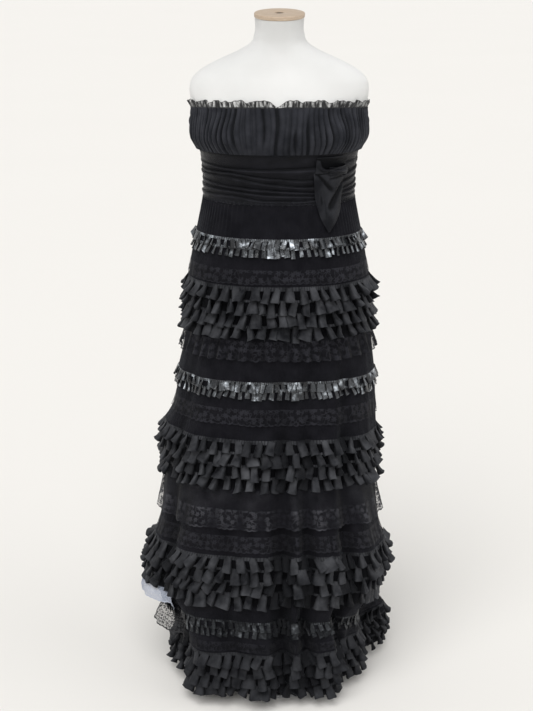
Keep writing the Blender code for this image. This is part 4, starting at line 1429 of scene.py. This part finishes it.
def make_ruffles(finishes, tree):
    """The four tiers: rows of doubled taffeta, pleated and staggered."""
    for number, (name, top, strips, step, height, pleats, shade, first) in enumerate(TIERS):
        for strip in range(strips):
            seed = first + strip

            def lower_edge(angle, seed=seed, flatter=FLATTER[number]):
                wave = 0.5 + 0.5 * np.sin(RUFFLE_WAVES * angle + 2.2 * seed)
                out = RUFFLE_VALLEY + (RUFFLE_CREST - RUFFLE_VALLEY - SWELL_ROOM) * wave
                return out - flatter * MM * bell(turn_between(angle, FLATTER_ANGLE), 0.9)

            settings = RUFFLE_PLEATS | {"Seed": seed, "Material": finishes["taffeta"]}
            head = (5 if strip else 8) * MM
            turn = 0.5 * (strip % 2) + 0.13 * number
            obj = strip_of_pleats(
                f"pleated_{name}_{strip + 1}", tree, top - strip * step, height, pleats, turn,
                settings, lower_edge, head, RUFFLE_HEAD, shade,
            )
            wear(obj, finishes["taffeta"], f"{name}_{strip + 1}")


def make_glossy_frills(finishes, tree):
    """Three bands of crinkled glossy tabs, each band in two staggered rows."""
    for number, (node, top, bottom, tabs, finish) in enumerate(GLOSSY):
        tall = top - bottom
        height = tall * TAB_HEIGHT
        for row in range(2):
            loose = row == 0 and finish == "glossy"
            settings = {"Seed": 70 + 2 * number + row, "Material": finishes[finish]}
            settings |= LOOSE_TABS if loose else GLOSSY_TABS
            fill = LOOSE_TAB_FILL if loose else PLEAT_FILL
            settings["Width"] = fill * even_angles(top, tabs)[1] / tabs
            obj = strip_of_pleats(
                f"{node}_row_{row + 1}", tree, top - row * tall * TAB_STEP, height, tabs,
                0.5 * row, settings, lambda angle: 3.0 * MM + 0 * angle, 5 * MM, TAB_HEAD,
            )
            wear(obj, finishes[finish], node)


def make_laces(finishes):
    """The lace bands, the lace frill and the net overlay, with scalloped lower edges."""
    for number, (node, top, bottom, flare, waves, wave, scallops, shade, kind) in enumerate(LACES):
        overlay = kind == "edged_net"
        count = scallops * 8
        angle = even_angles(top, count)[0][None, :]
        even = np.linspace(0, TURN, count, endpoint=False)[None, :]
        share = np.linspace(0, 1, 18 if overlay else 10)[:, None]
        bow = np.abs(np.sin(scallops * even / 2)) ** 0.7
        level = top + (bottom - top) * share
        level = level + share**2 * (SCALLOP_DEPTH * (1 - bow) + LACE_DRIFT * drifting(even, 40 + number))
        if overlay:
            level = level + share**2 * OVERLAY_SIDE_FALL * MM * np.abs(np.sin(angle)) ** 6
        ruffle = np.sin(waves * even + 1.6 * np.sin(5 * even + number))
        out = LIFT + share * flare * MM + (0.25 + 0.75 * share) * wave * MM * (1 + ruffle)
        points = skirt_surface(angle, level, out)
        # Painted shade in the ruffle's troughs and the skirt's long folds, and a painted shade over the
        # band
        deep = (0.5 - 0.5 * ruffle) * min(wave / 3, 1) * share
        deep = np.maximum(deep, 0.8 * valley(angle, level))
        deep = deep + shade * (0.6 + 0.4 * drifting(angle, 90 + number, (2, 3, 5, 8)))
        grid_piece(
            f"scalloped_{node}", points, finishes[kind], "net" if overlay else "lace", node,
            rests_on=SKIRT_PANELS, ring=True, hollow=deep,
        )


def make_side_flounces(finishes):
    """The two sheer flounces that stand out at the left side as seen from the front."""
    for number, (node, finish, slot, levels, outs) in enumerate(SIDE_FLOUNCES):
        turn = np.linspace(-1, 1, 150)[None, :] * FLOUNCE_REACH
        share = np.linspace(0, 1, 28)[:, None]
        steps = np.linspace(0, 1, len(levels))
        full = 0.3 + 0.7 * bell(turn, 1.3 * FLOUNCE_REACH)
        pleats = np.sin(44 * turn + 1.3 * np.sin(13 * turn) + number)
        out = LIFT + np.interp(share, steps, outs) * MM * full + share * 2.2 * MM * pleats
        level = np.interp(share, steps, levels) - share * 1.5 * MM * np.abs(np.sin(66 * turn))
        points = skirt_surface(FLOUNCE_MIDDLE + turn, level, out)
        name = f"sheer_{node}"
        grid_piece(name, points, finishes[finish], slot, node, rests_on=SKIRT_PANELS)


# The room


def make_floor():
    """A plain pale floor that runs out of sight."""
    paper = Finish("pale_floor", Roughness=0.95, Specular_IOR_Level=0.05)
    paper.wire(Base_Color=paper.colour(paper.noise(0.6, 1.0), *FLOOR_COLOURS))
    bpy.ops.mesh.primitive_plane_add(size=FLOOR_SIZE, location=FLOOR_MIDDLE)
    floor = bpy.context.object
    floor.name = "floor"
    floor.data.materials.append(paper.made)


def make_light(scene):
    """Soft light from all sides, weaker from above, and two large windows."""
    world = bpy.data.worlds.new("soft_studio")
    world.use_nodes = True
    scene.world = world
    nodes = Nodes(world.node_tree)
    light = world.node_tree.nodes["Background"]
    light.inputs["Color"].default_value = ROOM_COLOUR
    towards = nodes.add("ShaderNodeTexCoord").outputs["Generated"]
    walls = {"Value": nodes.parts(towards)["Z"], "To Min": WALL_LIGHT, "To Max": CEILING_LIGHT}
    walls |= dict(zip(("From Min", "From Max"), WALL_TO_CEILING))
    walls = nodes.add("ShaderNodeMapRange", walls, interpolation_type="SMOOTHSTEP").outputs[0]
    nodes.link(walls, light.inputs["Strength"])
    for name, side, strength, soft in LAMPS:
        lamp = bpy.data.lights.new(name, "SUN")
        lamp.energy = strength
        lamp.angle = math.radians(soft)
        obj = bpy.data.objects.new(name, lamp)
        scene.collection.objects.link(obj)
        obj.rotation_euler = Vector(side).to_track_quat("Z", "Y").to_euler()


def make_camera(scene):
    """The camera in front, looking slightly down."""
    eye = bpy.data.cameras.new("camera")
    eye.sensor_fit = "VERTICAL"
    eye.sensor_height = CAMERA_SENSOR
    eye.lens = CAMERA_LENS
    camera = bpy.data.objects.new("camera", eye)
    scene.collection.objects.link(camera)
    camera.location = CAMERA_PLACE
    camera.rotation_euler = (math.radians(90) - CAMERA_LOOKS_DOWN, 0, 0)
    scene.camera = camera


def write_sizes():
    """Brings the scene's placements up to date."""
    bpy.context.view_layer.update()


def main():
    finishes = make_finishes()
    pleats = pleat_tree()
    make_torso(finishes)
    make_cap(finishes)
    make_stand(finishes)
    make_skirt(finishes)
    make_bust_panel(finishes)
    make_shirred_back(finishes)
    make_neck_frill(finishes)
    make_sash(finishes)
    make_bow_tail(finishes)
    make_bow_loop(finishes)
    make_bow_band(finishes)
    make_ruffles(finishes, pleats)
    make_glossy_frills(finishes, pleats)
    make_laces(finishes)
    make_side_flounces(finishes)
    make_floor()
    scene = bpy.context.scene
    scene.view_settings.view_transform = "Standard"
    make_light(scene)
    make_camera(scene)
    write_sizes()


main()
